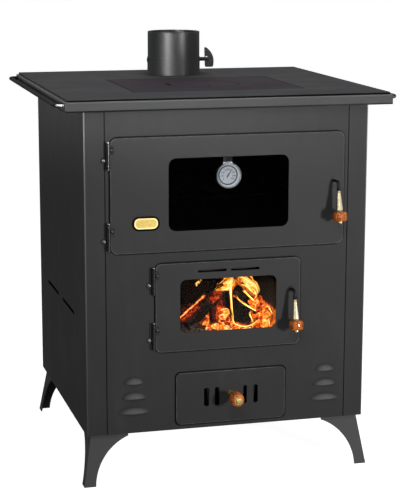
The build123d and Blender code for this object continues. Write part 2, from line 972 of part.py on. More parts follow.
def latch_spindle(pivot):
    """Round bar from the cam behind the door's edge, through the door and down the handle."""
    x, rise = pivot
    z = base + rise
    cam_front = front + sheet + cam_gap
    cam_back = cam_front + cam_thickness
    tilt = math.radians(arm_tilt)
    path = FilletPolyline(
        (x, cam_back, z),
        (x, door_face - arm_reach, z),
        (
            x,
            door_face - arm_reach - arm_length * math.sin(tilt),
            z - arm_length * math.cos(tilt),
        ),
        radius=arm_bend,
    )
    start = Plane(origin=(x, cam_back, z), z_dir=(0, -1, 0))
    bar = sweep(start * Circle(arm_radius), path=path)
    bar += rod_y(arm_collar_radius, x, door_face - arm_collar_thickness, door_face, z)
    bar += rod_y(cam_width / 2, x, cam_front, cam_back, z)
    low = z - cam_width / 2
    bar += block(x, x + cam_length, cam_front, cam_back, low, z + cam_width / 2)
    ball = Pos(0, 0, arm_length - arm_ball_radius) * Sphere(arm_ball_radius)
    tip = Pos(0, 0, arm_length - arm_tip_length / 2) * Cylinder(arm_tip_radius, arm_tip_length)
    return bar + along_handle(ball & tip, pivot)


def handle_shank(pivot):
    """Brass cone, the core through the bead and the cap under it, turned as one."""
    s0 = arm_length
    s1 = s0 + shank_length
    s2 = s1 + handle_bead_length
    s3 = s2 + handle_cap_length
    profile = [
        (0, s0),
        (shank_top_radius, s0),
        (shank_top_radius + 0.9, s0 + 2),
        (shank_top_radius + 0.4, s0 + 4),
        (shank_bottom_radius, s1 - 3),
        (shank_bottom_radius - 0.8, s1),
        (handle_core_radius, s1),
        (handle_core_radius, s2),
        (handle_cap_radius, s2),
        (handle_cap_radius, s2 + 0.5 * handle_cap_length),
        (0.6 * handle_cap_radius, s3),
        (0, s3),
    ]
    return along_handle(turned(profile), pivot)


def handle_bead(pivot):
    place = Pos(0, 0, arm_length + shank_length)
    core = handle_core_radius
    wood = turned(bead_profile(handle_bead_radius, handle_bead_length, core))
    return along_handle(place * wood, pivot)


oven_pivot = (oven_pivot_x, oven_pivot_rise)
fire_pivot = (fire_pivot_x, fire_pivot_rise)

# ---- Badge and thermometer ----


def badge_bezel():
    """Black rim of the badge; the badge's own plate is bare."""
    corner = badge_height / 2 - 1
    z = base + badge_rise
    rim = panel(badge_x, z, badge_width, badge_height, corner, door_face, badge_rim_thickness)
    inner_w = badge_width - 2 * badge_rim
    inner_h = badge_height - 2 * badge_rim
    hole = panel(badge_x, z, inner_w, inner_h, inner_h / 2 - 1, door_face, badge_rim_thickness)
    return rim - hole


def badge_plate():
    inner_w = badge_width - 2 * badge_rim
    inner_h = badge_height - 2 * badge_rim
    z = base + badge_rise
    return panel(badge_x, z, inner_w, inner_h, inner_h / 2 - 1, door_face, badge_thickness)


gauge_z = base + gauge_rise
gauge_front = front - door_gap + glass_thickness + gauge_stand
gauge_back = gauge_front + gauge_depth


def gauge_case():
    """Steel cup with a rolled rim, and the strap that hangs it from the door's back."""
    case = rod_y(gauge_radius, gauge_x, gauge_front, gauge_back, gauge_z)
    lip = gauge_radius - gauge_rim
    bore = gauge_radius - gauge_wall
    lens_back = gauge_front + 1 + gauge_lens_thickness
    case -= rod_y(lip, gauge_x, gauge_front, gauge_back - gauge_wall, gauge_z)
    case -= rod_y(bore, gauge_x, gauge_front + 1, gauge_back - gauge_wall, gauge_z)
    case += rod_y(gauge_post_radius, gauge_x, lens_back + 1, gauge_back, gauge_z)
    strap_top = base + oven_door_middle + oven_window_height / 2 + glass_lap + 8
    strap = block(
        gauge_x - strap_width / 2,
        gauge_x + strap_width / 2,
        gauge_back,
        gauge_back + strap_sheet,
        gauge_z - gauge_radius / 2,
        strap_top,
    )
    hook_z = strap_top - strap_sheet
    strap += block(
        gauge_x - strap_width / 2,
        gauge_x + strap_width / 2,
        front - door_gap,
        gauge_back + strap_sheet,
        hook_z,
        strap_top,
    )
    strap += block(
        gauge_x - strap_width / 2,
        gauge_x + strap_width / 2,
        front - door_gap,
        front - door_gap + strap_sheet,
        hook_z,
        strap_top + 8,
    )
    return case + strap


gauge_dial_back = gauge_back - gauge_wall
needle_y = gauge_dial_back - gauge_dial_thickness - 1.6


def gauge_dial():
    bore = gauge_radius - gauge_wall
    y0 = gauge_dial_back - gauge_dial_thickness
    disc = rod_y(bore, gauge_x, y0, gauge_dial_back, gauge_z)
    return disc - rod_y(gauge_post_radius, gauge_x, y0, gauge_dial_back, gauge_z)


def gauge_lens():
    y0 = gauge_front + 1
    bore = gauge_radius - gauge_wall
    return rod_y(bore, gauge_x, y0, y0 + gauge_lens_thickness, gauge_z)


def gauge_needle():
    """Pointed needle on the dial's post, drawn upright and then turned to its rest angle."""
    outline = make_face(
        Polyline(
            (-1.1, -gauge_needle_tail),
            (1.1, -gauge_needle_tail),
            (1.5, 0),
            (0.3, gauge_needle_length),
            (-0.3, gauge_needle_length),
            (-1.5, 0),
            close=True,
        )
    )
    needle = extrude(Plane.XZ * outline, gauge_needle_thickness)
    needle += rod_y(2.4, 0, -gauge_needle_thickness, 0, 0)
    needle -= rod_y(gauge_post_radius + running_gap, 0, -2, 2, 0)
    return Pos(gauge_x, needle_y, gauge_z) * Rot(0, gauge_rest, 0) * needle


# ---- Ash drawer ----

drawer_z = base + drawer_middle
knob_z = base + knob_rise
drawer_back = front - door_gap
drawer_face = drawer_back - drawer_thickness


def drawer_front():
    body = panel(
        axis_x,
        drawer_z,
        drawer_width,
        drawer_height,
        drawer_corner,
        drawer_back,
        drawer_thickness,
    )
    body = chamfer(body.faces().sort_by(Axis.Y)[0].edges(), 0.6)
    for offset in drawer_slot_offsets:
        side = 1 if offset > 0 else -1
        outer = side * drawer_slot_foot / 2
        slot = make_face(
            Polyline(
                (outer, 0),
                (outer, drawer_slot_height),
                (outer - side * drawer_slot_top, drawer_slot_height),
                (outer - side * drawer_slot_foot, 0),
                close=True,
            )
        )
        slot = fillet(slot.vertices(), drawer_slot_top / 2 - 0.6)
        cut = extrude(Plane.XZ * slot, 3 * drawer_thickness, both=True)
        body -= Pos(axis_x + offset, front, base + drawer_slot_rise) * cut
    return body - rod_y(knob_screw_radius, axis_x, drawer_face - 1, front, knob_z)


def ash_tray():
    """Open sheet tray behind the drawer's front; its front wall is low, to let air over it."""
    half_tray = drawer_width / 2 - drawer_lap - tray_clearance
    z0 = base + ash_floor_rise + fit_gap
    z1 = z0 + tray_height
    y1 = drawer_back + tray_depth
    tray = block(axis_x - half_tray, axis_x + half_tray, drawer_back, y1, z0, z1)
    inner = half_tray - tray_sheet
    tray -= block(
        axis_x - inner,
        axis_x + inner,
        drawer_back + tray_sheet,
        y1 - tray_sheet,
        z0 + tray_sheet,
        z1,
    )
    low = z0 + tray_front_height
    return tray - block(axis_x - inner, axis_x + inner, drawer_back - 1, drawer_back + 5, low, z1)


def knob_stem():
    """Brass neck, screw through the bead and domed head on a ring, turned as one."""
    s0 = -drawer_thickness
    s1 = knob_neck_length
    s2 = s1 + knob_length
    s3 = s2 + knob_ring_length
    s4 = s3 + knob_head_length
    profile = [
        (0, s0),
        (knob_screw_radius, s0),
        (knob_screw_radius, 0),
        (knob_base_radius, 0),
        (knob_base_radius - 1, 3),
        (knob_neck_radius, 6),
        (knob_neck_radius, s1 - 2),
        (knob_neck_radius + 1.5, s1),
        (knob_screw_radius, s1),
        (knob_screw_radius, s2),
        (knob_ring_radius, s2),
        (knob_ring_radius, s3),
        (knob_head_radius, s3),
        (0.85 * knob_head_radius, s4 - 1.2),
        (0.5 * knob_head_radius, s4),
        (0, s4),
    ]
    return facing_front(turned(profile), axis_x, drawer_face, knob_z)


def knob_bead():
    place = Pos(0, 0, knob_neck_length)
    wood = turned(bead_profile(knob_radius, knob_length, knob_screw_radius))
    return facing_front(place * wood, axis_x, drawer_face, knob_z)


# ---- Inside ----

oven_z = base + oven_door_middle
oven_back = front + flange_seat + oven_depth
oven_out_w = oven_half_width + oven_wall
oven_out_h = oven_half_height + oven_wall
casing_half = half - sheet - flange_lap - casing_gap
casing_front = front + sheet + flange_lap + 2
casing_back = back - flange_lap_back - casing_back_gap


def oven_box():
    """Sheet-steel oven with a front flange for the door's rope and two rack ledges."""
    seat = front + flange_seat
    body = block(-oven_out_w, oven_out_w, seat, oven_back, oven_z - oven_out_h, oven_z + oven_out_h)
    body += block(
        -oven_half_width - oven_flange,
        oven_half_width + oven_flange,
        seat,
        seat + oven_wall,
        oven_z - oven_half_height - oven_flange,
        oven_z + oven_half_height + oven_flange,
    )
    body -= block(
        -oven_half_width,
        oven_half_width,
        seat,
        oven_back - oven_wall,
        oven_z - oven_half_height,
        oven_z + oven_half_height,
    )
    shelf = oven_z - oven_half_height + rack_rise
    for side in (-1, 1):
        body += block(
            side * oven_half_width,
            side * (oven_half_width - rack_ledge),
            seat + rack_ledge_setback,
            oven_back,
            shelf - rack_ledge_thickness,
            shelf,
        )
    return body


def oven_rack():
    """Wire shelf that rests on the oven's ledges."""
    z = oven_z - oven_half_height + rack_rise + rack_frame_radius
    x = oven_half_width - rack_gap - rack_frame_radius
    y0 = front + flange_seat + rack_front_gap
    y1 = oven_back - oven_wall - rack_gap
    ys = (y0 + rack_frame_radius, y1 - rack_frame_radius)
    rack = rod_y(rack_frame_radius, -x, ys[0], ys[1], z)
    rack += rod_y(rack_frame_radius, x, ys[0], ys[1], z)
    for y in ys:
        rack += rod_x(rack_frame_radius, -x, x, y, z)
        for side in (-1, 1):
            rack += Pos(side * x, y, z) * Sphere(rack_frame_radius)
    pitch = 2 * x / (rack_wires + 1)
    for wire in range(1, rack_wires + 1):
        rack += rod_y(rack_wire_radius, -x + wire * pitch, ys[0], ys[1], z)
    return rack


def fire_box():
    """Steel firebox: floor with the ash hole, three walls and the front flange."""
    seat = front + flange_seat
    outer = fire_half_width + fire_wall
    y1 = seat + fire_wall + fire_depth
    floor_z = base + fire_floor_height
    roof_z = base + casing_floor_rise
    body = block(-outer, outer, seat, y1, floor_z - fire_wall, roof_z)
    body += block(
        -fire_flange_half_width,
        fire_flange_half_width,
        seat,
        seat + fire_wall,
        base + fire_flange_low,
        base + fire_flange_high,
    )
    for y0, z1 in ((seat + fire_wall, roof_z - fire_wall), (casing_front + casing_wall, roof_z)):
        body -= block(-fire_half_width, fire_half_width, y0, y1 - fire_wall, floor_z, z1)
    body -= block(
        -fire_mouth_half_width,
        fire_mouth_half_width,
        seat - 1,
        seat + fire_wall,
        base + fire_mouth_low,
        base + fire_mouth_high,
    )
    hole_x = grate_width / 2 - grate_bearing_side
    return body - block(
        -hole_x,
        hole_x,
        grate_y + grate_bearing_end,
        grate_y + grate_depth - grate_bearing_end,
        floor_z - fire_wall,
        floor_z,
    )


def firebricks():
    """Left, right and back bricks, standing on the firebox floor."""
    z0 = base + fire_floor_height
    z1 = z0 + brick_height
    y0 = front + flange_seat + fire_wall
    y1 = y0 + fire_depth - fire_wall
    bricks = []
    for side in (-1, 1):
        x = side * fire_half_width
        bricks.append(block(x, x - side * brick_thickness, y0, y1 - brick_thickness, z0, z1))
    bricks.append(block(-fire_half_width, fire_half_width, y1 - brick_thickness, y1, z0, z1))
    return bricks


grate_z = base + fire_floor_height + grate_thickness
grate_y = front + flange_seat + fire_wall + grate_front_gap
grate_width = 2 * (fire_half_width - brick_thickness - grate_side_gap)
grate_depth = fire_depth - fire_wall - brick_thickness - grate_front_gap - grate_back_gap


def grate():
    """Cast grate over the ash hole, with two rows of slots."""
    y1 = grate_y + grate_depth
    z0 = grate_z - grate_thickness
    body = block(-grate_width / 2, grate_width / 2, grate_y, y1, z0, grate_z)
    body = chamfer(body.faces().sort_by(Axis.Z)[-1].edges(), 2)
    pitch = grate_width / (grate_slots + 1)
    slot_length = (grate_depth - grate_bridge) / 2 - grate_slot_margin
    slot = Rot(0, 0, 90) * SlotOverall(slot_length, grate_slot_width)
    for column in range(1, grate_slots + 1):
        for row in (-0.5, 0.5):
            x = -grate_width / 2 + column * pitch
            y = grate_y + grate_depth / 2 + row * (slot_length + grate_bridge)
            body -= Pos(x, y, z0) * extrude(slot, grate_thickness)
    return body


def ash_box():
    """Ash space under the grate: floor that the tray runs on, two sides and a back."""
    x0 = axis_x - ash_half_width
    x1 = axis_x + ash_half_width
    y0 = front + 2 * sheet
    y1 = front + ash_depth
    z1 = base + fire_floor_height - fire_wall
    floor_z = base + ash_floor_rise
    body = block(x0, x1, y0, y1, base + sheet, z1)
    body -= block(x0 + ash_wall, x1 - ash_wall, y0, y1 - ash_wall, floor_z, z1)
    under = floor_z - ash_wall
    return body - block(x0 + ash_wall, x1 - ash_wall, y0, y1 - ash_wall, base + sheet, under)


def smoke_casing():
    """Inner casing that leads the smoke round the oven to the flue, closed by the hob plate."""
    z0 = base + casing_floor_rise
    body = block(-casing_half, casing_half, casing_front, casing_back, z0, plate_under)
    wall = casing_wall
    body -= block(
        -casing_half + wall,
        casing_half - wall,
        casing_front + wall,
        casing_back - wall,
        z0 + wall,
        plate_under,
    )
    body -= block(
        -oven_out_w,
        oven_out_w,
        casing_front - 1,
        casing_front + wall,
        oven_z - oven_out_h,
        oven_z + oven_out_h,
    )
    mouth = fire_half_width
    y1 = front + flange_seat + fire_depth
    return body - block(-mouth, mouth, casing_front + wall, y1, z0, z0 + wall)


def ember_bed():
    """Low heap of embers on the grate: a flat foot and a smaller crown."""
    width = grate_width - 2 * ember_margin
    depth = grate_depth - 2 * ember_margin
    middle = grate_y + grate_depth / 2
    foot = Pos(0, middle, grate_z) * Rectangle(width, depth)
    crown = Pos(4, middle + 6, grate_z + ember_height) * Rectangle(0.85 * width, 0.84 * depth)
    return loft([foot, crown])


def log(radius, length, start, turn, lift):
    """Split log from its start (x, depth, rise over the embers), turned and lifted in degrees."""
    ends = []
    for reach, share in ((0.0, 1.0), (length, log_taper)):
        points = []
        for side in range(log_sides):
            angle = 2 * math.pi * side / log_sides
            r = radius * share * (1 + log_waviness * math.sin(3 * angle + 1))
            points.append((r * math.cos(angle), r * math.sin(angle)))
        ends.append(Pos(0, 0, reach) * make_face(Polyline(*points, close=True)))
    bar = loft(ends, ruled=True)
    x, depth, rise = start
    place = Pos(x, front + depth, grate_z + ember_height + rise)
    return place * Rot(0, 0, turn) * Rot(0, 90 - lift, 0) * bar


def firewood():
    """Embers, a log on the left, one that leans in the middle, and two on the right.

    Each log is burnt away where it lies on what carries it.
    """
    embers = ember_bed()
    left = log(14.0, 60.0, left_log, 20, 28) - embers
    leaning = log(22.0, 105.0, leaning_log, 60, 55) - embers
    right = log(26.0, 190.0, right_log, 88, 0) - embers
    upper = log(14.0, 60.0, upper_log, -18, -38) - right
    return [embers, left, leaning, right, upper]


# ---- Legs ----


def leg_bolt_places():
    for side_x in (-1, 1):
        for side_y in (-1, 1):
            corner_x = side_x * (half - leg_inset - leg_bolt_inset)
            middle_y = (front + back) / 2
            corner_y = middle_y + side_y * (body_depth / 2 - leg_inset - leg_bolt_inset)
            yield corner_x, corner_y
            yield corner_x - side_x * leg_bolt_pitch, corner_y


def leg():
    """Front left leg: two splayed plates that meet at a sloping corner, and a top flange."""
    corner = Vector(-half + leg_inset, front + leg_inset, base)
    plane = Plane(origin=corner, x_dir=(1, 0, 0), z_dir=(0, -leg_height, leg_splay))
    slope = math.hypot(leg_splay, leg_height) / leg_height
    drop = leg_height * slope
    foot_in = leg_foot_width - leg_splay
    spare = leg_sheet
    spare_x = spare * leg_splay / leg_height
    outline = make_face(
        [
            Line((0, 0), (leg_top_width, 0)),
            Line((leg_top_width, 0), (leg_top_width, -leg_lip)),
            ThreePointArc(
                (leg_top_width, -leg_lip),
                (leg_curve_x, -leg_curve_z),
                (foot_in, -drop),
            ),
            Line((foot_in, -drop), (foot_in - spare_x, -drop - spare)),
            Line((foot_in - spare_x, -drop - spare), (-leg_splay - spare_x, -drop - spare)),
            Line((-leg_splay - spare_x, -drop - spare), (0, 0)),
        ]
    )
    front_plate = extrude(plane * outline, -leg_sheet)
    mirror_plane = Plane(origin=corner, x_dir=(1, 1, 0), z_dir=(1, -1, 0))
    side_plate = mirror(front_plate, about=mirror_plane)
    short = leg_top_width - leg_tab_cut
    flange = make_face(
        Polyline(
            (0, 0),
            (leg_top_width, 0),
            (leg_top_width, short),
            (short, leg_top_width),
            (0, leg_top_width),
            close=True,
        )
    )
    tab = Pos(corner.X, corner.Y, base - leg_sheet) * extrude(flange, leg_sheet)
    body = front_plate + side_plate + tab
    span = Pos(corner.X, corner.Y) * Rectangle(3 * leg_top_width, 3 * leg_top_width)
    body -= Pos(0, 0, -leg_spare) * extrude(span, leg_spare)
    body -= Pos(0, 0, base) * extrude(span, leg_spare)
    for x, y in leg_bolt_places():
        if x < 0 and y < (front + back) / 2:
            body -= rod_z(leg_bolt_radius, x, y, base - 3 * leg_sheet, base + 1)
    return body


def leg_bolts():
    bolts = []
    for x, y in leg_bolt_places():
        low = base - leg_sheet
        shank = rod_z(leg_bolt_radius, x, y, low, base + sheet)
        hexagon = RegularPolygon(leg_head_radius, 6)
        head = Pos(x, y, low - leg_head_length) * extrude(hexagon, leg_head_length)
        nut = Pos(x, y, base + sheet) * extrude(hexagon, leg_head_length)
        bolts.append(shank + head + nut)
    return bolts


def front_to_back(piece):
    middle = Plane(origin=(0, (front + back) / 2, 0), x_dir=(1, 0, 0), z_dir=(0, 1, 0))
    return mirror(piece, about=middle)


# ---- Write the pieces ----


def write(name, *solids):
    """One STEP file for each named piece; a group of solids goes into one file."""
    shapes = []
    for piece in solids:
        shapes.extend(piece if isinstance(piece, list) else [piece])
    whole = shapes[0] if len(shapes) == 1 else Compound(children=shapes)
    whole.label = name
    export_step(whole, f"parts/{name}.step")


os.makedirs("parts", exist_ok=True)

left_shell = side_shell()
write("side_shell_left", left_shell)
write("side_shell_right", mirrored(left_shell))
write("front_panel", front_sheet())
write("back_panel", back_sheet())
write("back_screws", back_screws())
write("base_plate", base_sheet())

write("hob_frame", hob_frame())
write("hob_rope", hob_rope())
write("hob_plate", hob_plate())
write("hob_inset", hob_inset())
write("hob_lid", hob_lid())
left_rail = rail()
write("rail_left", left_rail)
write("rail_right", mirrored(left_rail))

write("flue_spigot", flue_spigot())
write("damper_spindle", damper_spindle())
write("damper_plate", damper_plate())
write("damper_key", damper_key())

oven_panel = door_panel(
    oven_door_width,
    oven_door_height,
    oven_door_middle,
    oven_door_corner,
    oven_window,
    oven_pivot,
)
write("oven_door_panel", oven_panel)
write("oven_door_glass", door_glass(oven_window))
write("oven_glass_clips", glass_clips(oven_window, oven_clip_spread))
write("oven_door_rope", rope_seal(oven_door_width, oven_door_height, oven_door_middle))
write("oven_door_knuckles", [hinge_knuckle(x, z) for x, z in oven_hinges])
write("badge_bezel", badge_bezel())
write("badge_plate", badge_plate())
write("thermometer_case", gauge_case())
write("thermometer_dial", gauge_dial())
write("thermometer_needle", gauge_needle())
write("thermometer_lens", gauge_lens())

write("firebox_door_panel", fire_door_panel())
write("firebox_door_glass", door_glass(fire_window))
write("firebox_glass_clips", glass_clips(fire_window, fire_clip_spread))
write("firebox_door_rope", rope_seal(fire_door_width, fire_door_height, fire_door_middle))
write("firebox_door_knuckles", [hinge_knuckle(x, z) for x, z in fire_hinges])
write("air_slide", air_slide())

write("hinge_brackets", [hinge_bracket(x, z) for x, z in oven_hinges + fire_hinges])
write("hinge_pins", [hinge_pin(x, z) for x, z in oven_hinges + fire_hinges])
write("hinge_screws", hinge_screws())

for door, pivot in (("oven", oven_pivot), ("firebox", fire_pivot)):
    write(f"{door}_latch_spindle", latch_spindle(pivot))
    write(f"{door}_handle_shank", handle_shank(pivot))
    write(f"{door}_handle_bead", handle_bead(pivot))

write("ash_drawer_front", drawer_front())
write("ash_tray", ash_tray())
write("drawer_knob_stem", knob_stem())
write("drawer_knob_bead", knob_bead())

write("oven_box", oven_box())
write("oven_rack", oven_rack())
write("firebox", fire_box())
write("firebricks", firebricks())
write("grate", grate())
write("ash_box", ash_box())
write("smoke_casing", smoke_casing())
write("firewood", firewood())

left_leg = leg()
write("leg_front_left", left_leg)
write("leg_front_right", mirrored(left_leg))
write("leg_rear_left", front_to_back(left_leg))
write("leg_rear_right", mirrored(front_to_back(left_leg)))
write("leg_bolts", leg_bolts())
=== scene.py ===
import math
from functools import reduce

import bmesh
import bpy
import numpy as np
from mathutils import Euler, Matrix, Vector


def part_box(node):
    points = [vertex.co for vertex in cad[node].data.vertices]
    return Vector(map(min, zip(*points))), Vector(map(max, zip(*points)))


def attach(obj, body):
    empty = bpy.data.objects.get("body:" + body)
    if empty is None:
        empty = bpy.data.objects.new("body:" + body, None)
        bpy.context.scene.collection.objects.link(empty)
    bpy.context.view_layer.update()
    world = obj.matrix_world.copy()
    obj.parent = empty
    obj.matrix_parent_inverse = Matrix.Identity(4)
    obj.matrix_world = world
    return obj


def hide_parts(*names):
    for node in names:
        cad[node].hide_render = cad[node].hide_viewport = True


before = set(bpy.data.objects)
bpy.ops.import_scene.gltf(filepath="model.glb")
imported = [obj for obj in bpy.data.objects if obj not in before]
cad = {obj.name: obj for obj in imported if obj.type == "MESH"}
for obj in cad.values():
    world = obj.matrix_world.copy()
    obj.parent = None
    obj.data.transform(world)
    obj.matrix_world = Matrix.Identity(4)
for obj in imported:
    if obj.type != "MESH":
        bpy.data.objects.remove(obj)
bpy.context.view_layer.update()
scene = bpy.context.scene
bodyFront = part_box("side_shell_left")[0].y
print("frame loaded,", len(cad), "nodes")

# from the front, a little left and from above; angles in degrees, places in metres
frontView = {"at": (-0.9516, -3.5872, 1.2208), "yaw": -15.187, "pitch": -11.499, "roll": 0.142, "lens": 113.127}


def placeCamera(view):
    body = bpy.data.cameras.new("frontView")
    body.lens = view["lens"]
    body.sensor_width = 36
    body.clip_end = 300
    camera = bpy.data.objects.new("frontView", body)
    aim = Euler((math.radians(90 + view["pitch"]), 0, math.radians(view["yaw"]))).to_matrix().to_4x4()
    camera.matrix_world = Matrix.Translation(view["at"]) @ aim @ Matrix.Rotation(math.radians(view["roll"]), 4, "Z")
    scene.collection.objects.link(camera)
    scene.camera = camera


placeCamera(frontView)
scene.view_settings.view_transform = "Standard"


def wire(socket, value):
    # a value is either another node's output or a constant
    if isinstance(value, bpy.types.NodeSocket):
        socket.id_data.links.new(value, socket)
    else:
        socket.default_value = value


def newStep(kind, values, **options):
    # a shader node in the tree of its values, which are kept by the input's place or name
    tree = next(value.id_data for value in values.values() if isinstance(value, bpy.types.NodeSocket))
    step = tree.nodes.new("ShaderNode" + kind)
    for option, choice in options.items():
        setattr(step, option, choice)
    for place, value in values.items():
        wire(step.inputs[place], value)
    return step


def calculate(how, first, second=0.0):
    return newStep("Math", {0: first, 1: second}, operation=how).outputs[0]


def times(*values):
    return reduce(lambda first, second: calculate("MULTIPLY", first, second), values)


def plus(*values):
    return reduce(lambda first, second: calculate("ADD", first, second), values)


def minus(first, second):
    return calculate("SUBTRACT", first, second)


def larger(first, second):
    return calculate("MAXIMUM", first, second)


def distance(value, middle):
    return calculate("ABSOLUTE", minus(value, middle))


def fade(value, low, high, start=0.0, end=1.0):
    # soft step: start below low, end above high
    values = dict(enumerate((value, low, high, start, end)))
    return newStep("MapRange", values, interpolation_type="SMOOTHSTEP").outputs[0]


def mixColour(share, first, second):
    return newStep("Mix", {0: share, 6: first, 7: second}, data_type="RGBA").outputs[2]


def objectPoint(tree):
    return tree.nodes.new("ShaderNodeTexCoord").outputs["Object"]


def axisOf(where, axis):
    return newStep("SeparateXYZ", {0: where}).outputs[axis]


def stretched(where, stretch):
    return newStep("VectorMath", {0: where, 1: stretch}, operation="MULTIPLY").outputs[0]


def noise(where, scale, detail=2.0, roughness=0.5, distortion=0.0):
    values = {"Vector": where, "Scale": scale, "Detail": detail, "Roughness": roughness, "Distortion": distortion}
    return newStep("TexNoise", values).outputs[0]


def ramp(value, stops):
    # colours at places from 0 to 1
    step = newStep("ValToRGB", {0: value})
    row = step.color_ramp.elements
    row[0].position, row[0].color = stops[0]
    row[1].position, row[1].color = stops[-1]
    for place, colour in stops[1:-1]:
        row.new(place).color = colour
    return step.outputs[0]


def addBump(surface, height, relief, depth):
    step = newStep("Bump", {"Height": height, "Strength": relief, "Distance": depth})
    wire(surface["Normal"], step.outputs["Normal"])


def newMaterial(name, constants):
    material = bpy.data.materials.new(name)
    material.use_nodes = True
    surface = material.node_tree.nodes["Principled BSDF"].inputs
    for label, value in constants.items():
        surface[label].default_value = value
    return material, surface


# plain studio: a small lamp low on the right, a high soft box, a soft lamp above, a weak one on the left, two
# gridded strips for the flue (spread in degrees), and white all round
skylight = 0.06
studio = {
    "rightLamp": {"at": (0.95, -2.15, 0.58), "towards": (0.0, -0.3, 0.62), "size": (0.2, 0.28), "power": 33},
    "leftBox": {"at": (-0.6, -1.9, 1.75), "towards": (0.0, -0.29, 0.7), "size": (1.0, 0.6), "power": 14},
    "topLamp": {"at": (0.5, 0.1, 3.0), "towards": (0.1, 0.1, 0.6), "size": (1.6, 1.6), "power": 31},
    "sideFill": {"at": (-2.2, -0.4, 0.7), "towards": (-0.3, 0.0, 0.5), "size": (1.0, 1.0), "power": 2.0},
    "leftStrip": {"at": (-1.14, -1.12, 1.02), "towards": (0.0, 0.23, 0.93), "size": (0.8, 0.2), "power": 1.45,
                  "spread": 22},
    "rightStrip": {"at": (0.85, -1.6, 1.05), "towards": (0.0, 0.23, 0.93), "size": (0.8, 0.2), "power": 0.3,
                   "spread": 22},
}


def lightStudio(lamps):
    world = bpy.data.worlds.new("studio")
    scene.world = world
    world.use_nodes = True
    tree = world.node_tree
    path = tree.nodes.new("ShaderNodeLightPath").outputs
    seen = larger(larger(path["Is Camera Ray"], path["Is Glossy Ray"]), path["Is Transmission Ray"])
    background = tree.nodes["Background"].inputs
    background["Color"].default_value = (1, 1, 1, 1)
    wire(background["Strength"], fade(seen, 0, 1, skylight, 1.0))
    for name, given in lamps.items():
        body = bpy.data.lights.new(name, "AREA")
        body.shape = "RECTANGLE"
        body.size, body.size_y = given["size"]
        body.energy = given["power"]
        body.spread = math.radians(given.get("spread", 180))
        lamp = bpy.data.objects.new(name, body)
        lamp.location = given["at"]
        away = Vector(given["at"]) - Vector(given["towards"])
        lamp.rotation_euler = away.to_track_quat("Z", "Y").to_euler()
        scene.collection.objects.link(lamp)


lightStudio(studio)


def layFloor():
    # a wide pale floor that keeps the shadow; to the camera it gives a little light of its own
    reach = 60.0
    mesh = bpy.data.meshes.new("paleFloor")
    corners = [(-reach, -reach, 0), (reach, -reach, 0), (reach, reach, 0), (-reach, reach, 0)]
    mesh.from_pydata(corners, [], [(0, 1, 2, 3)])
    floor = bpy.data.objects.new("paleFloor", mesh)
    scene.collection.objects.link(floor)
    constants = {"Roughness": 0.9, "Specular IOR Level": 0.0, "Emission Strength": 0.97}
    material, surface = newMaterial("paleFloor", constants)
    grain = noise(objectPoint(material.node_tree), 3, 3)
    wire(surface["Base Color"], mixColour(grain, (0.52, 0.52, 0.52, 1), (0.56, 0.56, 0.56, 1)))
    path = material.node_tree.nodes.new("ShaderNodeLightPath").outputs
    wire(surface["Emission Color"], path["Is Camera Ray"])
    mesh.materials.append(material)


layFloor()
print("camera, light and floor placed")


def newGroup(name, **inputs):
    # nodes that finishes share; the inputs are colours (four numbers), vectors (three) or single numbers
    tree = bpy.data.node_groups.new(name, "ShaderNodeTree")
    for label, start in inputs.items():
        kind = {3: "Vector", 4: "Color"}[len(start)] if isinstance(start, tuple) else "Float"
        tree.interface.new_socket(label, in_out="INPUT", socket_type="NodeSocket" + kind).default_value = start
    return tree, tree.nodes.new("NodeGroupInput").outputs


def endGroup(tree, colour, roughness, height):
    # every group of nodes gives a colour, a roughness and a height
    for label, kind in (("Color", "Color"), ("Roughness", "Float"), ("Height", "Float")):
        tree.interface.new_socket(label, in_out="OUTPUT", socket_type="NodeSocket" + kind)
    result = tree.nodes.new("NodeGroupOutput").inputs
    for label, value in (("Color", colour), ("Roughness", roughness), ("Height", height)):
        wire(result[label], value)
    return tree


def addGroup(tree, group, given):
    # a shared group as one step; what is given goes to the inputs of the same name
    step = tree.nodes.new("ShaderNodeGroup")
    step.node_tree = group
    for socket in step.inputs:
        if socket.name in given:
            wire(socket, given[socket.name])
    return step.outputs


def finish(name, group, settings, constants, relief=0.2, depth=0.0005):
    # a surface whose colour, roughness and relief come from a shared group
    material, surface = newMaterial(name, constants)
    base = addGroup(material.node_tree, group, settings)
    wire(surface["Base Color"], base["Color"])
    wire(surface["Roughness"], base["Roughness"])
    addBump(surface, base["Height"], relief, depth)
    return material


def grey(level, tint=(1, 1, 1)):
    return (level * tint[0], level * tint[1], level * tint[2], 1)


paintInputs = {"Paint": grey(0.03), "DustAndPaintedLight": grey(0.06), "Dry": 0.5}
ironInputs = {"Iron": grey(0.03), "Heat": grey(0.05), "Dry": 0.5}


def sheetPaint():
    # matt stove paint: slow clouds, wiped streaks that run down, a fine grain, and paler towards the top as painted
    # light from above
    tree, given = newGroup("sheetPaint", **paintInputs)
    where = objectPoint(tree)
    cloud = noise(where, 6.5, 6, 0.62)
    wiped = noise(stretched(where, (34, 34, 5)), 1.0, 4, 0.6)
    speck = noise(where, 900, 2, 0.6)
    peel = noise(where, 260, 2, 0.5)
    patches = times(fade(cloud, 0.4, 0.72), fade(wiped, 0.3, 0.75), 0.4)
    # painted light: the paint turns paler towards the top, as if lit from above
    paintedTopLight = fade(axisOf(where, "Z"), 0.1, 0.86, 0.0, 0.5)
    dustAndPaintedLightShare = plus(patches, fade(speck, 0.5, 0.8, 0.0, 0.25), paintedTopLight)
    uneven = plus(fade(cloud, 0.3, 0.7, -0.05, 0.06), fade(wiped, 0.3, 0.7, -0.03, 0.03))
    colour = mixColour(dustAndPaintedLightShare, given["Paint"], given["DustAndPaintedLight"])
    return endGroup(tree, colour, plus(given["Dry"], uneven), plus(times(speck, 0.35), peel))


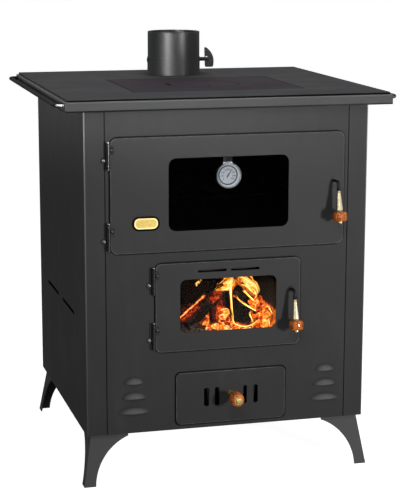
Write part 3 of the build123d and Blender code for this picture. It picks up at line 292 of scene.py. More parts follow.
# corner radii of the outlines that the finishes follow, in metres; a round piece has its own radius
cornerRadius = {"oven_door_panel": 0.018, "firebox_door_panel": 0.016, "ash_drawer_front": 0.010, "badge_plate": 0.011,
                "thermometer_dial": 0.0, "hob_inset": 0.004, "hob_lid": 0.085, "flue_spigot": 0.0655}


def outlineOf(name, plane="XZ"):
    low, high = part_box(name)
    sides = ["XYZ".index(axis) for axis in plane]
    return {"plane": plane, "corner": cornerRadius[name], "centre": [(low[side] + high[side]) / 2 for side in sides],
            "size": [high[side] - low[side] for side in sides]}


def outlineDistance(where, outline):
    # distance in the outline's plane to a rounded rectangle: below 0 inside it, above 0 outside
    reach = [minus(distance(axisOf(where, axis), centre), size / 2 - outline["corner"])
             for axis, centre, size in zip(outline["plane"], outline["centre"], outline["size"])]
    outside = [calculate("POWER", larger(part, 0.0), 2.0) for part in reach]
    inner = calculate("MINIMUM", larger(*reach), 0.0)
    return minus(plus(calculate("SQRT", plus(*outside)), inner), outline["corner"])


# the near black of the painted shade in joints, creases, slots and under edges
paintedShadeBlack = grey(0.002)
# where each line of painted shade, painted highlight or other mark starts and ends, counted from its edge, in metres
lineEnds = {"rimInside": (-0.0022, -0.0004), "rimOutside": (0.0016, 0.0004), "bend": (0.0042, 0.0016),
            "hood": (0.001, 0.0088), "crease": (0.0016, 0.0046), "slot": (0.0006, 0.0016), "seam": (0.0008, 0.0022),
            "plateFront": (0.0005, 0.003), "insetJoint": (0.00098, 0.0028), "lidJoint": (0.00077, 0.0022),
            "flueFoot": (0.0, 0.035), "frameTop": (-0.003, -0.0015), "frameFoot": (0.0028, 0.0042),
            "strapFoot": (0.0005, 0.0035), "railFront": (0.006, 0.002), "railMiddle": (0.0030, 0.0014),
            "badgeField": (-0.0022, -0.0042), "badgeBorder": (-0.0022, -0.0034)}


def lineFade(value, line, start=0.0, end=1.0, edge=0.0):
    return fade(value, edge + lineEnds[line][0], edge + lineEnds[line][1], start, end)


def outlinedPaint(name, creases=(), slots=(), rims=(), seams=(), bends=(), hoods=None):
    # the sheet paint with painted shade round the doors, round the drawer's slots and along the seams, and a painted
    # highlight on the doors' edges, on the bends and on the louvres
    tree, given = newGroup(name, **paintInputs, Rubbed=grey(0.12))
    base = addGroup(tree, paintGroup, given)
    where = objectPoint(tree)
    colour = base["Color"]
    # painted highlight: a paler rim along each door's edge
    for outline in rims:
        away = outlineDistance(where, outline)
        rim = times(lineFade(away, "rimInside"), lineFade(away, "rimOutside"),
                    fade(noise(where, 90, 3), 0.3, 0.7, 0.25, 0.8))
        colour = mixColour(rim, colour, given["Rubbed"])
    # painted highlight: a pale line down each front bend, stronger towards the top
    for bend in bends:
        away = larger(*[distance(axisOf(where, axis), middle) for axis, middle in zip("XY", bend)])
        paintedHighlight = times(lineFade(away, "bend"), fade(axisOf(where, "Z"), 0.1, 0.8, 0.25, 0.95))
        colour = mixColour(paintedHighlight, colour, given["Rubbed"])
    if hoods is not None:
        # the louvres stand out of the sheet: the further out, the stronger the painted highlight on them
        stand = minus(hoods, axisOf(where, "Y"))
        colour = mixColour(lineFade(stand, "hood", 0.0, 0.6), colour, given["Rubbed"])
    # painted shade: near-black lines round the doors, round the drawer's slots and along the seams
    paintedShade = [lineFade(outlineDistance(where, outline), "crease", 0.1) for outline in creases]
    paintedShade += [lineFade(outlineDistance(where, outline), "slot", 0.05) for outline in slots]
    paintedShade += [lineFade(distance(axisOf(where, "X"), seam), "seam", 0.15) for seam in seams]
    colour = mixColour(times(1.0, *paintedShade), paintedShadeBlack, colour)
    return endGroup(tree, colour, base["Roughness"], base["Height"])


def castIron():
    # sand-cast plate: coarse pits, soft stains, a warmer tone where it has been hot
    tree, given = newGroup("castIron", **ironInputs)
    where = objectPoint(tree)
    stain = noise(where, 11, 6, 0.6, 0.4)
    grit = noise(where, 520, 3, 0.6)
    pits = noise(where, 150, 3, 0.55)
    tone = plus(fade(stain, 0.35, 0.7, 0, 0.8), fade(grit, 0.55, 0.75, 0, 0.25))
    dry = plus(given["Dry"], fade(stain, 0.3, 0.7, -0.07, 0.08))
    return endGroup(tree, mixColour(tone, given["Iron"], given["Heat"]), dry, plus(times(grit, 0.5), pits))


def turnedMetal():
    # polished metal: thin tool lines along Stretch, and tarnish in slow patches
    tree, given = newGroup("turnedMetal", Metal=(0.7, 0.5, 0.2, 1), Tarnish=(0.3, 0.18, 0.06, 1),
                           Stretch=(40, 40, 1400), Dry=0.25)
    where = objectPoint(tree)
    patch = noise(where, 45, 4, 0.6)
    lines = noise(stretched(where, given["Stretch"]), 1.0, 3, 0.6)
    tone = plus(fade(patch, 0.45, 0.75, 0, 0.55), fade(lines, 0.42, 0.7, 0, 0.5))
    rough = plus(fade(patch, 0.4, 0.7, -0.03, 0.1), fade(lines, 0.3, 0.7, -0.03, 0.05))
    return endGroup(tree, mixColour(tone, given["Metal"], given["Tarnish"]), plus(given["Dry"], rough), lines)


def turnedWood():
    # lacquered wood turned on a lathe: wavy year rings drawn out along the grain, fine pores in them
    tree, given = newGroup("turnedWood", Light=(0.58, 0.19, 0.025, 1), Dark=(0.2, 0.045, 0.006, 1),
                           Stretch=(1, 1, 0.12), Dry=0.35)
    along = stretched(objectPoint(tree), given["Stretch"])
    rings = calculate("SINE", times(noise(along, 60, 3, 0.5), 60.0))
    pores = noise(along, 1800, 2, 0.5)
    tone = plus(fade(rings, -0.6, 1.0, 0, 0.75), fade(pores, 0.5, 0.75, 0, 0.3))
    dry = plus(given["Dry"], fade(pores, 0.4, 0.7, 0, 0.08))
    return endGroup(tree, mixColour(tone, given["Light"], given["Dark"]), dry, pores)


def plaitedRope():
    # glass-fibre rope: two families of slanted strands over fine fibres
    tree, given = newGroup("plaitedRope", Fibre=(0.16, 0.155, 0.15, 1), Soot=(0.03, 0.028, 0.026, 1))
    where = objectPoint(tree)
    x, z = axisOf(where, "X"), axisOf(where, "Z")
    strands = times(*[calculate("SINE", times(slant, 1500.0)) for slant in (plus(x, z), minus(x, z))])
    fibres = noise(where, 900, 3, 0.7)
    tone = plus(fade(noise(where, 30, 4, 0.6), 0.4, 0.65, 0, 0.6), fade(strands, 0.1, -0.6, 0, 0.5))
    colour = mixColour(tone, given["Fibre"], given["Soot"])
    return endGroup(tree, colour, fade(fibres, 0, 1, 0.8, 1.0), plus(strands, times(fibres, 0.5)))


def hobSheet():
    # the cast plate with painted shade round the inset, the lid and the flue's foot and on its own front edge and sides
    tree, given = newGroup("hobSheet", **ironInputs)
    base = addGroup(tree, ironGroup, given)
    where = objectPoint(tree)
    low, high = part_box("hob_plate")
    # painted shade: the plate's front edge and side faces, the joints round the inset and the lid, and round the flue's
    # foot
    beside = lineFade(axisOf(where, "Y"), "plateFront", 0.0, 0.6, edge=low.y)
    paintedShade = larger(beside, fade(axisOf(where, "Z"), low.z + 0.008, high.z - 0.0004))
    for name, line in (("hob_inset", "insetJoint"), ("hob_lid", "lidJoint")):
        away = calculate("ABSOLUTE", outlineDistance(where, outlineOf(name, "XY")))
        paintedShade = times(paintedShade, lineFade(away, line, 0.05))
    paintedShade = times(paintedShade, lineFade(outlineDistance(where, outlineOf("flue_spigot", "XY")), "flueFoot", 0.3))
    return endGroup(tree, mixColour(paintedShade, paintedShadeBlack, base["Color"]), base["Roughness"], base["Height"])


def frameSheet():
    # the hob's frame: painted shade under its lower edge and a painted highlight along its upper edge
    tree, given = newGroup("frameSheet", **paintInputs, Rubbed=grey(0.12))
    base = addGroup(tree, paintGroup, given)
    low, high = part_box("hob_frame")
    rise = axisOf(objectPoint(tree), "Z")
    # painted highlight on the upper edge, painted shade under the lower edge
    paintedHighlight = times(lineFade(rise, "frameTop", edge=high.z), 0.6)
    paintedHighlight = mixColour(paintedHighlight, base["Color"], given["Rubbed"])
    paintedShade = lineFade(rise, "frameFoot", 0.12, edge=low.z)
    return endGroup(tree, mixColour(paintedShade, paintedShadeBlack, paintedHighlight), base["Roughness"], base["Height"])


def strapSheet():
    # polished case; the strap above the dial is darkened as painted shade
    tree, given = newGroup("strapSheet", Metal=(0.92, 0.93, 0.95, 1), Smoked=grey(0.1))
    where = objectPoint(tree)
    cloud = noise(where, 90, 4)
    # painted shade: the strap above the dial turns dark
    strapShadeMask = lineFade(axisOf(where, "Z"), "strapFoot", edge=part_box("thermometer_dial")[1].z)
    metal = mixColour(fade(cloud, 0.4, 0.7, 0, 0.3), given["Metal"], grey(0.6))
    return endGroup(tree, mixColour(strapShadeMask, metal, given["Smoked"]), fade(cloud, 0.3, 0.7, 0.12, 0.25), cloud)


def railSheet():
    # black paint with a painted highlight: a thin pale line where the left bar bends at its front end
    tree, given = newGroup("railSheet", **paintInputs)
    base = addGroup(tree, paintGroup, given)
    where = objectPoint(tree)
    low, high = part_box("rail_left")
    level = distance(axisOf(where, "Z"), (low.z + high.z) / 2)
    # painted highlight: a thin pale line on the left bar's front bend
    bent = lineFade(axisOf(where, "Y"), "railFront", edge=low.y)
    patchy = fade(noise(where, 160, 3), 0.3, 0.6, 0.6)
    paintedHighlight = times(bent, patchy, fade(axisOf(where, "X"), 0.3, -0.3, 0.1), lineFade(level, "railMiddle"))
    return endGroup(tree, mixColour(paintedHighlight, base["Color"], grey(0.75)), base["Roughness"], base["Height"])


def badgeSheet():
    # struck brass: a pale raised border, the field inside darker and dull
    tree, given = newGroup("badgeSheet", Border=(0.7, 0.55, 0.24, 1), Field=(0.4, 0.28, 0.07, 1))
    where = objectPoint(tree)
    away = outlineDistance(where, outlineOf("badge_plate"))
    cloud = noise(where, 170, 4, 0.6, 0.6)
    dull = times(lineFade(away, "badgeField"), fade(cloud, 0.38, 0.62, 0.7, 0.9))
    colour = mixColour(dull, given["Border"], given["Field"])
    return endGroup(tree, colour, fade(cloud, 0.3, 0.7, 0.32, 0.5), lineFade(away, "badgeBorder", 1.0, 0.0))


def dialSheet():
    # enamelled dial: pale inside, a dark printed ring, and a bright turned band outside it; in shares of its radius
    tree, given = newGroup("dialSheet", Face=(0.5, 0.55, 0.58, 1), Ring=grey(0.02))
    where = objectPoint(tree)
    dial = outlineOf("thermometer_dial")
    away = times(outlineDistance(where, {**dial, "size": (0.0, 0.0)}), 2 / dial["size"][0])
    ring = times(fade(away, 0.71, 0.74), fade(away, 0.84, 0.81))
    cloud = noise(where, 120, 3)
    face = mixColour(fade(cloud, 0.3, 0.7, 0, 0.2), given["Face"], (0.5, 0.53, 0.55, 1))
    face = mixColour(fade(away, 0.81, 0.83), face, (0.97, 0.98, 0.97, 1))
    return endGroup(tree, mixColour(ring, face, given["Ring"]), fade(cloud, 0, 1, 0.35, 0.45), cloud)


paintGroup, ironGroup, metalGroup, woodGroup = sheetPaint(), castIron(), turnedMetal(), turnedWood()
hobGroup = hobSheet()
ovenOutline = outlineOf("oven_door_panel")
fireOutline = outlineOf("firebox_door_panel")
drawerOutline = outlineOf("ash_drawer_front")
frontSeams = (-0.2793, 0.2793)
# the drawer's slots: height of their middle, length, and across and width of each
drawerSlots = {"level": 0.188, "length": 0.042,
               "each": ((-0.0498, 0.0095), (-0.0255, 0.0090), (0.0400, 0.0066), (0.0645, 0.0066))}
slotOutlines = [{"plane": "XZ", "corner": width / 2, "centre": (middle, drawerSlots["level"]),
                 "size": (width, drawerSlots["length"])} for middle, width in drawerSlots["each"]]
shellEdges = [(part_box("side_shell_left")[0].x, bodyFront), (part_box("side_shell_right")[1].x, bodyFront)]


def shades(labels, first, second, dry):
    # a group's two colours and its dryness; a bare number stands for a grey
    colours = [part if isinstance(part, tuple) else grey(part) for part in (first, second)]
    return dict(zip(labels, colours), Dry=dry)


def paint(first, second, dry):
    return shades(("Paint", "DustAndPaintedLight"), first, second, dry)


def iron(first, second, dry):
    return shades(("Iron", "Heat"), first, second, dry)


def shine(level):
    return {"Specular IOR Level": level}


def dress(material, *names):
    # the material goes on these nodes of the frame
    for name in names:
        for place in cad[name].material_slots:
            place.material = material
    return material


cool = (0.97, 0.98, 1.03)
warm = (1.02, 1.0, 1.0)
matt, metallic = shine(0.04), {"Metallic": 1.0}
bodyTone = paint(grey(0.031, warm), 0.05, 0.55)
doorTone = paint(grey(0.034, warm), 0.053, 0.52)


def metal(first, second, stretch, dry=0.25):
    return {**shades(("Metal", "Tarnish"), first, second, dry), "Stretch": stretch}


frontGroup = outlinedPaint("frontSheet", creases=(ovenOutline, fireOutline, drawerOutline), seams=frontSeams,
                           hoods=bodyFront)
ovenDoorGroup = outlinedPaint("ovenDoorSheet", rims=(ovenOutline,))
fireDoorGroup = outlinedPaint("fireDoorSheet", rims=(fireOutline,))
drawerGroup = outlinedPaint("drawerSheet", slots=slotOutlines, rims=(drawerOutline,))
sideGroup = outlinedPaint("sideSheet", bends=shellEdges)
dress(finish("bodyPaint", paintGroup, bodyTone, matt, 0.12), "back_panel", "base_plate")
dress(finish("sidePaint", sideGroup, {**bodyTone, "Rubbed": grey(0.2)}, matt, 0.12),
      "side_shell_left", "side_shell_right")
dress(finish("frontPaint", frontGroup, bodyTone, matt, 0.12), "front_panel")
dress(finish("ovenDoorPaint", ovenDoorGroup, doorTone, matt, 0.1), "oven_door_panel")
dress(finish("fireDoorPaint", fireDoorGroup, doorTone, matt, 0.1), "firebox_door_panel")
dress(finish("drawerPaint", drawerGroup, bodyTone, matt, 0.1), "ash_drawer_front")
dress(finish("hobPaint", frameSheet(), {**paint(grey(0.038, cool), 0.052, 0.42), "Rubbed": grey(0.09)}, matt, 0.08),
      "hob_frame")
dress(finish("legPaint", paintGroup, paint(grey(0.062, warm), 0.088, 0.5), matt, 0.12),
      "leg_front_left", "leg_front_right", "leg_rear_left", "leg_rear_right")
dress(finish("barPaint", paintGroup, paint(0.006, 0.012, 0.4), shine(0.15), 0.06),
      "damper_spindle", "damper_plate", "oven_latch_spindle", "firebox_latch_spindle")
dress(finish("railPaint", railSheet(), paint(0.008, 0.014, 0.75), shine(0.03), 0.06), "rail_left", "rail_right")
dress(finish("hingePaint", paintGroup, paint(0.005, 0.012, 0.24), shine(0.45), 0.02),
      "oven_door_knuckles", "firebox_door_knuckles", "hinge_brackets")
dress(finish("keyPaint", paintGroup, paint(0.004, 0.008, 0.5), shine(0.25), 0.06), "damper_key")
dress(finish("rimPaint", paintGroup, paint(0.0015, 0.003, 0.45), matt, 0.05), "badge_bezel")
dress(finish("fluePaint", paintGroup, paint((0.0014, 0.0016, 0.0017, 1), (0.003, 0.0033, 0.0035, 1), 0.4),
             shine(0.4), 0.03), "flue_spigot")
dress(finish("hobSteel", hobGroup, iron(grey(0.032, cool), grey(0.039, cool), 0.8), shine(0.05), 0.05), "hob_plate")
dress(finish("hobIron", hobGroup, iron((0.024, 0.02, 0.025, 1), (0.031, 0.025, 0.03, 1), 0.8), shine(0.03), 0.06),
      "hob_inset", "hob_lid")
dress(finish("grateIron", ironGroup, iron(0.02, (0.06, 0.03, 0.018, 1), 0.7), matt, 0.4, 0.001), "grate")
dress(finish("insideSteel", ironGroup, iron(0.012, grey(0.03, (1.1, 1.0, 0.9)), 0.6), matt, 0.15),
      "firebox", "ash_box", "ash_tray", "smoke_casing", "oven_glass_clips", "firebox_glass_clips")
dress(finish("ovenEnamel", ironGroup, iron(0.002, 0.004, 0.6), shine(0.05), 0.05), "oven_box")
dress(finish("slideSteel", ironGroup, iron(0.02, 0.03, 0.5), matt, 0.08), "air_slide")
fireBrick = dress(finish("fireBrick", ironGroup, iron((0.014, 0.01, 0.008, 1), (0.008, 0.007, 0.006, 1), 0.9),
                         matt, 0.6, 0.001), "firebricks")
# the oven rack is near black without shine: painted shade inside the oven
dress(finish("darkWire", metalGroup, metal(0.0015, 0.001, (500, 500, 500), 0.5), shine(0.0), 0.05), "oven_rack")
boltSteel = dress(finish("boltSteel", metalGroup, metal(0.62, 0.3, (700, 60, 700)), metallic, 0.05),
                  "back_screws", "hinge_pins", "leg_bolts")
dress(finish("screwSteel", metalGroup, metal(0.16, 0.06, (700, 60, 700), 0.35), metallic, 0.05), "hinge_screws")
dress(finish("brass", metalGroup, metal((0.7, 0.6, 0.4, 1), (0.16, 0.11, 0.05, 1), (420, 420, 9), 0.2), metallic, 0.05),
      "oven_handle_shank", "firebox_handle_shank")
dress(finish("knobBrass", metalGroup, metal((0.8, 0.6, 0.24, 1), (0.3, 0.2, 0.07, 1), (60, 500, 60)), metallic, 0.05),
      "drawer_knob_stem")
dress(finish("caseSteel", strapSheet(), {}, metallic, 0.03), "thermometer_case")
dress(finish("badgeBrass", badgeSheet(), {}, metallic, 0.1, 0.0006), "badge_plate")
lacquer = {"Coat Weight": 0.5, "Coat Roughness": 0.06, "Coat IOR": 1.5, "Specular IOR Level": 0.2}
wood = {"Light": (0.52, 0.13, 0.009, 1), "Dark": (0.1, 0.015, 0.0015, 1)}
dress(finish("handleWood", woodGroup, {**wood, "Stretch": (1, 1, 0.12)}, lacquer, 0.05),
      "oven_handle_bead", "firebox_handle_bead")
dress(finish("knobWood", woodGroup, {**wood, "Stretch": (1, 0.12, 1)}, lacquer, 0.05), "drawer_knob_bead")
dress(finish("sealRope", plaitedRope(), {}, {}, 0.8, 0.001), "hob_rope", "oven_door_rope", "firebox_door_rope")
dress(finish("dialFace", dialSheet(), {"Face": (0.7, 0.77, 0.75, 1)}, {}, 0.02), "thermometer_dial")
dialInk = finish("dialInk", paintGroup, paint(0.02, 0.03, 0.5), {}, 0.02)
dress(finish("needleRed", paintGroup, paint((0.35, 0.02, 0.015, 1), (0.25, 0.02, 0.015, 1), 0.4), {}, 0.02),
      "thermometer_needle")


def windowGlass(name, tint, gloss, dirt):
    # flat stove glass: clear in the middle, faint soot that thickens in slow clouds
    material, surface = newMaterial(name, {"Transmission Weight": 1.0, "IOR": 1.12, "Specular IOR Level": gloss})
    cloud = noise(objectPoint(material.node_tree), 14, 4, 0.6)
    darker = tuple(part * dirt for part in tint[:3]) + (1,)
    wire(surface["Base Color"], mixColour(fade(cloud, 0.35, 0.75), tint, darker))
    wire(surface["Roughness"], fade(cloud, 0.4, 0.8, 0.0, 0.01))
    return material


dress(windowGlass("ovenGlass", (0.84, 0.85, 0.87, 1), 0.1, 0.95), "oven_door_glass")
dress(windowGlass("fireGlass", (0.98, 0.97, 0.95, 1), 0.3, 0.95), "firebox_door_glass")
dress(windowGlass("gaugeGlass", (0.97, 0.98, 1.0, 1), 0.5, 0.98), "thermometer_lens")
print("finishes made and nodes dressed")


# points closer than this are the same point, in metres
weldReach = 2e-7


def keepHeat(mesh, heat):
    # the glow of each point, which the burning wood's finish reads
    mesh.attributes.new("emberGlow", "FLOAT", "POINT").data.foreach_set("value", heat.astype(np.float32).ravel())


def gridMesh(name, points, wrap=False, ends=False, heat=None, share=None):
    # rows by columns of points become quads; wrap closes each row into a ring, ends closes the first and last ring
    rows, columns = points.shape[:2]
    index = np.arange(rows * columns).reshape(rows, columns)
    if wrap:
        index = np.hstack([index, index[:, :1]])
    quads = np.stack([index[:-1, :-1], index[:-1, 1:], index[1:, 1:], index[1:, :-1]], -1).reshape(-1, 4).tolist()
    if ends:
        quads += [index[0, :columns][::-1].tolist(), index[-1, :columns].tolist()]
    mesh = bpy.data.meshes.new(name)
    mesh.from_pydata(points.reshape(-1, 3).tolist(), [], quads)
    if heat is not None:
        keepHeat(mesh, heat)
    if share is not None:
        corner = np.zeros(len(mesh.loops), np.int32)
        mesh.loops.foreach_get("vertex_index", corner)
        mesh.uv_layers.new(name="share").data.foreach_set("uv", share.reshape(-1, 2)[corner].astype(np.float32).ravel())
    return mesh


def weld(mesh):
    # points that share a place become one, and every closed part turns its faces outward
    shape = bmesh.new()
    shape.from_mesh(mesh)
    bmesh.ops.remove_doubles(shape, verts=shape.verts, dist=weldReach)
    bmesh.ops.recalc_face_normals(shape, faces=shape.faces)
    shape.to_mesh(mesh)
    shape.free()
    return mesh


def addPiece(mesh, material, body, replaced=(), smooth=True):
    mesh.materials.append(material)
    mesh.polygons.foreach_set("use_smooth", np.full(len(mesh.polygons), smooth))
    piece = bpy.data.objects.new(mesh.name, mesh)
    scene.collection.objects.link(piece)
    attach(piece, body)
    if replaced:
        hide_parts(*replaced)


# ash lies on the wood between these two heights
ashLine = (0.338, 0.328)


def burning():
    # charred wood: ash and bark by noise; the heat kept on each point glows from dark red to pale yellow
    material, surface = newMaterial("burningWood", {"Specular IOR Level": 0.05, "Emission Strength": 1.5})
    where = objectPoint(material.node_tree)
    kept = material.node_tree.nodes.new("ShaderNodeAttribute")
    kept.attribute_name = "emberGlow"
    heat = kept.outputs["Fac"]
    bark = noise(where, 110, 5, 0.65, 0.5)
    crack = noise(where, 300, 4, 0.7, 1.4)
    cells = newStep("TexVoronoi", {"Vector": where, "Scale": 95}, feature="DISTANCE_TO_EDGE")
    seam = fade(cells.outputs["Distance"], 0.22, 0.02)
    char = mixColour(fade(bark, 0.5, 0.72), (0.006, 0.005, 0.004, 1), (0.07, 0.045, 0.032, 1))
    ash = times(fade(bark, 0.42, 0.6, 0.1, 0.9), fade(heat, 0.4, 0.15), fade(axisOf(where, "Z"), *ashLine))
    wire(surface["Base Color"], mixColour(ash, char, (0.34, 0.27, 0.23, 1)))
    wire(surface["Roughness"], fade(bark, 0, 1, 0.85, 1.0))
    uneven = minus(plus(times(crack, 1.5), times(bark, 0.8)), 1.28)
    glow = times(plus(heat, uneven, times(seam, 0.22)), fade(heat, 0.02, 0.3))
    wire(surface["Emission Color"], ramp(glow, [
        (0.0, (0, 0, 0, 1)), (0.25, (0.06, 0.003, 0.001, 1)), (0.45, (0.4, 0.025, 0.003, 1)),
        (0.66, (0.85, 0.13, 0.008, 1)), (0.85, (1.0, 0.4, 0.03, 1)), (1.0, (1.0, 0.8, 0.35, 1))]))
    addBump(surface, plus(bark, crack), 0.9, 0.002)
    return material


# where the painted glow and the painted fire light on the bricks start and are full, across or in height
paintedBrickGlow = {"across": (0.085, 0.1), "height": (0.394, 0.376), "strength": 1.1}
paintedBrickLight = {"across": (-0.01, -0.07), "height": (0.36, 0.42), "colour": (0.1, 0.036, 0.006, 1)}


def heatBricks(material):
    # painted glow and painted fire light: the bricks beside the embers glow low down on the right, and those on the
    # left glow brown as if lit by the fire
    surface = material.node_tree.nodes["Principled BSDF"].inputs
    where = objectPoint(material.node_tree)
    x, z = axisOf(where, "X"), axisOf(where, "Z")
    # painted glow on the right and painted fire light on the left
    spots = plus(times(noise(where, 170, 4, 0.65, 0.8), 0.8), times(noise(where, 60, 3), 0.6))
    paintedGlow = ramp(times(fade(x, *paintedBrickGlow["across"]), fade(z, *paintedBrickGlow["height"]), spots), [
        (0.0, (0, 0, 0, 1)), (0.5, (0.02, 0.002, 0.001, 1)), (0.66, (0.28, 0.025, 0.004, 1)),
        (0.78, (0.8, 0.16, 0.015, 1)), (0.9, (1.0, 0.5, 0.06, 1))])
    patchy = fade(noise(where, 22, 3), 0.35, 0.65, 0.1)
    paintedFireLight = times(fade(x, *paintedBrickLight["across"]), fade(z, *paintedBrickLight["height"]), patchy)
    wire(surface["Emission Color"], mixColour(paintedFireLight, paintedGlow, paintedBrickLight["colour"]))
    surface["Emission Strength"].default_value = paintedBrickGlow["strength"]


heatBricks(fireBrick)


def nearLine(points, start, end, width):
    # 1 on the line between two places, falling to 0 over the width
    along = end - start
    share = np.clip(((points - start) @ along) / (along @ along), 0, 1)
    away = np.linalg.norm(points - start - share[..., None] * along, axis=-1)
    return np.exp(-((away / width) ** 2))


# height that the fire lies on, and how far from the middle it ends in front of the bricks
grateTop = 0.3085
brickFace = 0.1115
# start: across, behind the front, height; turn and lift in degrees; hot: lines that glow (start, end, width, heat)
woodPile = {
    "leftLog": {"start": (-0.074, 0.108, 0.332), "turn": 14, "lift": 37, "radius": 0.022, "length": 0.112, "seed": 3,
                "hot": [((-0.0875, 0.104, 0.350), (-0.028, 0.118, 0.394), 0.0055, 1.1),
                        ((-0.088, 0.094, 0.338), (-0.045, 0.100, 0.374), 0.009, 0.42),
                        ((-0.010, 0.108, 0.385), (0.012, 0.112, 0.400), 0.014, 0.35)]},
    "leaningLog": {"start": (0.008, 0.112, 0.326), "turn": 84, "lift": 62, "radius": 0.021, "length": 0.100, "seed": 5,
                   "hot": [((0.010, 0.092, 0.330), (0.016, 0.112, 0.395), 0.018, 0.45)]},
    "rightLog": {"start": (0.062, 0.075, 0.348), "turn": 88, "lift": 0, "radius": 0.026, "length": 0.190, "seed": 8,
                 "hot": [((0.086, 0.078, 0.338), (0.088, 0.100, 0.362), 0.008, 0.85),
                         ((0.040, 0.078, 0.332), (0.070, 0.078, 0.322), 0.006, 0.8)]},
    "upperLog": {"start": (0.045, 0.105, 0.408), "turn": -18, "lift": -38, "radius": 0.014, "length": 0.060, "seed": 13,
                 "hot": [((0.040, 0.098, 0.392), (0.080, 0.088, 0.362), 0.005, 0.8),
                         ((0.055, 0.092, 0.418), (0.088, 0.082, 0.388), 0.004, 0.85)]},
}


# points round a log, along it and over each end; then shares of the radius, and the ends' roughness in metres
logShape = {"around": 96, "along": 60, "over": 5, "taper": 0.14, "swell": 0.12, "bark": 0.14, "lumps": 0.05,
            "roughEnds": 0.0012}
# the pile's foot glows: height of the hottest line, how fast it fades, how hot, and where across it starts
footGlow = {"height": 0.322, "width": 0.008, "heat": 0.55, "from": -0.03}


def logMesh(name, given, shape):
    # a point lies at start + reach * axis + r * (cos a * down + sin a * side), where r is the tapered radius with a
    # threefold swell, furrows of bark that wander along the log, and small lumps; the ends close over rough faces
    chance = np.random.default_rng(given["seed"])
    along, over = shape["along"], shape["over"]
    share = np.concatenate([np.full(over, 0.0), np.linspace(0, 1, along), np.full(over, 1.0)])
    closing = np.concatenate([np.linspace(0.08, 0.92, over), np.ones(along), np.linspace(0.92, 0.08, over)])
    a, s = np.meshgrid(np.linspace(0, 2 * np.pi, shape["around"], endpoint=False), share)
    furrows = np.zeros_like(a)
    for wave in chance.integers(7, 23, 6):
        drift = chance.uniform(-2, 2, 2)
        furrows += np.abs(np.sin(wave / 2 * a + drift[0] * np.sin(5 * s + drift[1]) + chance.uniform(0, 6))) / 6
    lumps = sum(np.sin(chance.integers(2, 9) * a + chance.uniform(8, 40) * s + chance.uniform(0, 6))
                for _ in range(8)) / 8
    uneven = shape["swell"] * np.sin(3 * a + 1) + shape["bark"] * (furrows - 0.6) + shape["lumps"] * lumps
    r = given["radius"] * (1 - shape["taper"] * s) * (1 + uneven) * closing[:, None]
    rough = shape["roughEnds"] * np.sin(54 * closing[:, None] + 3 * a) * (closing[:, None] < 1)
    turn, lift = math.radians(given["turn"]), math.radians(given["lift"])
    axis = np.array([math.cos(lift) * math.cos(turn), math.cos(lift) * math.sin(turn), math.sin(lift)])
    side = np.array([-math.sin(turn), math.cos(turn), 0.0])
    down = np.cross(side, axis)
    shift = np.array((0, bodyFront, 0))
    points = given["start"] + shift + (s * given["length"] + rough)[..., None] * axis
    points = points + (r * np.cos(a))[..., None] * down + (r * np.sin(a))[..., None] * side
    points[..., 2] = np.maximum(points[..., 2], grateTop)
    low = np.exp(-((points[..., 2] - footGlow["height"]) / footGlow["width"]) ** 2)
    heat = footGlow["heat"] * low * (points[..., 0] > footGlow["from"])
    for first, last, width, power in given["hot"]:
        heat = np.maximum(heat, power * nearLine(points, first + shift, last + shift, width))
    return gridMesh(name, points, wrap=True, ends=True, heat=heat)


def ease(value):
    value = np.clip(value, 0, 1)
    return value * value * (3 - 2 * value)


# the bed's reach across and behind the front, its lumps by radius and flatness, and where across it starts to glow
ashBed = {"across": (-0.111, 0.111), "behind": (0.060, 0.352), "foot": grateTop, "level": 0.316, "lumps": 420,
          "radius": (0.005, 0.011), "flat": 0.6, "glow": 0.5, "cool": -0.02, "hot": 0.02, "seed": 21}


def ashMesh(given):
    # height = level + the highest of many small caps; the rim drops to the grate and a flat underside closes it
    chance = np.random.default_rng(given["seed"])
    x, y = np.meshgrid(np.linspace(*given["across"], 150), np.linspace(*given["behind"], 130))
    spot = chance.uniform(*zip(given["across"], given["behind"]), (given["lumps"], 2))
    size = chance.uniform(*given["radius"], given["lumps"])
    away = (x[..., None] - spot[:, 0]) ** 2 + (y[..., None] - spot[:, 1]) ** 2
    caps = np.sqrt(np.maximum(size**2 - away, 0)).max(-1) * given["flat"]
    edge = np.minimum(np.minimum(x - x.min(), x.max() - x), np.minimum(y - y.min(), y.max() - y))
    z = np.where(edge < 1e-6, given["foot"], given["level"] + caps)
    heat = given["glow"] * ease((x - given["cool"]) / (given["hot"] - given["cool"]))
    rows = [np.stack([x, y + bodyFront, height], -1) for height in (z, np.full_like(z, given["foot"]))]
    sheet = np.concatenate([rows[0], rows[1][::-1]])
    sheet = np.concatenate([sheet, sheet[:1]])
    return weld(gridMesh("ashBed", sheet, heat=np.concatenate([heat, heat[::-1], heat[:1]])))


# heaps of embers: across, behind the front and height from low to high corner, how many, and the hottest glow
emberHeaps = {
    "bed": {"low": (-0.020, 0.066, 0.318), "high": (0.106, 0.200, 0.322), "count": 190, "glow": 0.86},
    "back": {"low": (-0.100, 0.150, 0.318), "high": (0.020, 0.330, 0.322), "count": 70, "glow": 0.3},
    "cold": {"low": (-0.103, 0.066, 0.314), "high": (-0.028, 0.150, 0.317), "count": 55, "glow": 0.12},
    "inner": {"low": (0.000, 0.076, 0.322), "high": (0.024, 0.096, 0.366), "count": 60, "glow": 0.84},
    "innerFoot": {"low": (0.002, 0.066, 0.320), "high": (0.050, 0.084, 0.330), "count": 30, "glow": 0.9},
    "side": {"low": (0.080, 0.062, 0.320), "high": (0.104, 0.180, 0.384), "count": 150, "glow": 0.8},
    "corner": {"low": (0.094, 0.022, 0.304), "high": (0.105, 0.062, 0.380), "count": 78, "glow": 0.82},
}
# an ember's radius, points round and down it, its swells (waves, share of the radius) and how it is stretched
emberShape = {"radius": (0.0038, 0.008), "around": 12, "down": 8, "swells": ((2.0, 0.24), (4.5, 0.13)),
              "stretch": (0.75, 1.3), "pole": 0.06, "seed": 34}


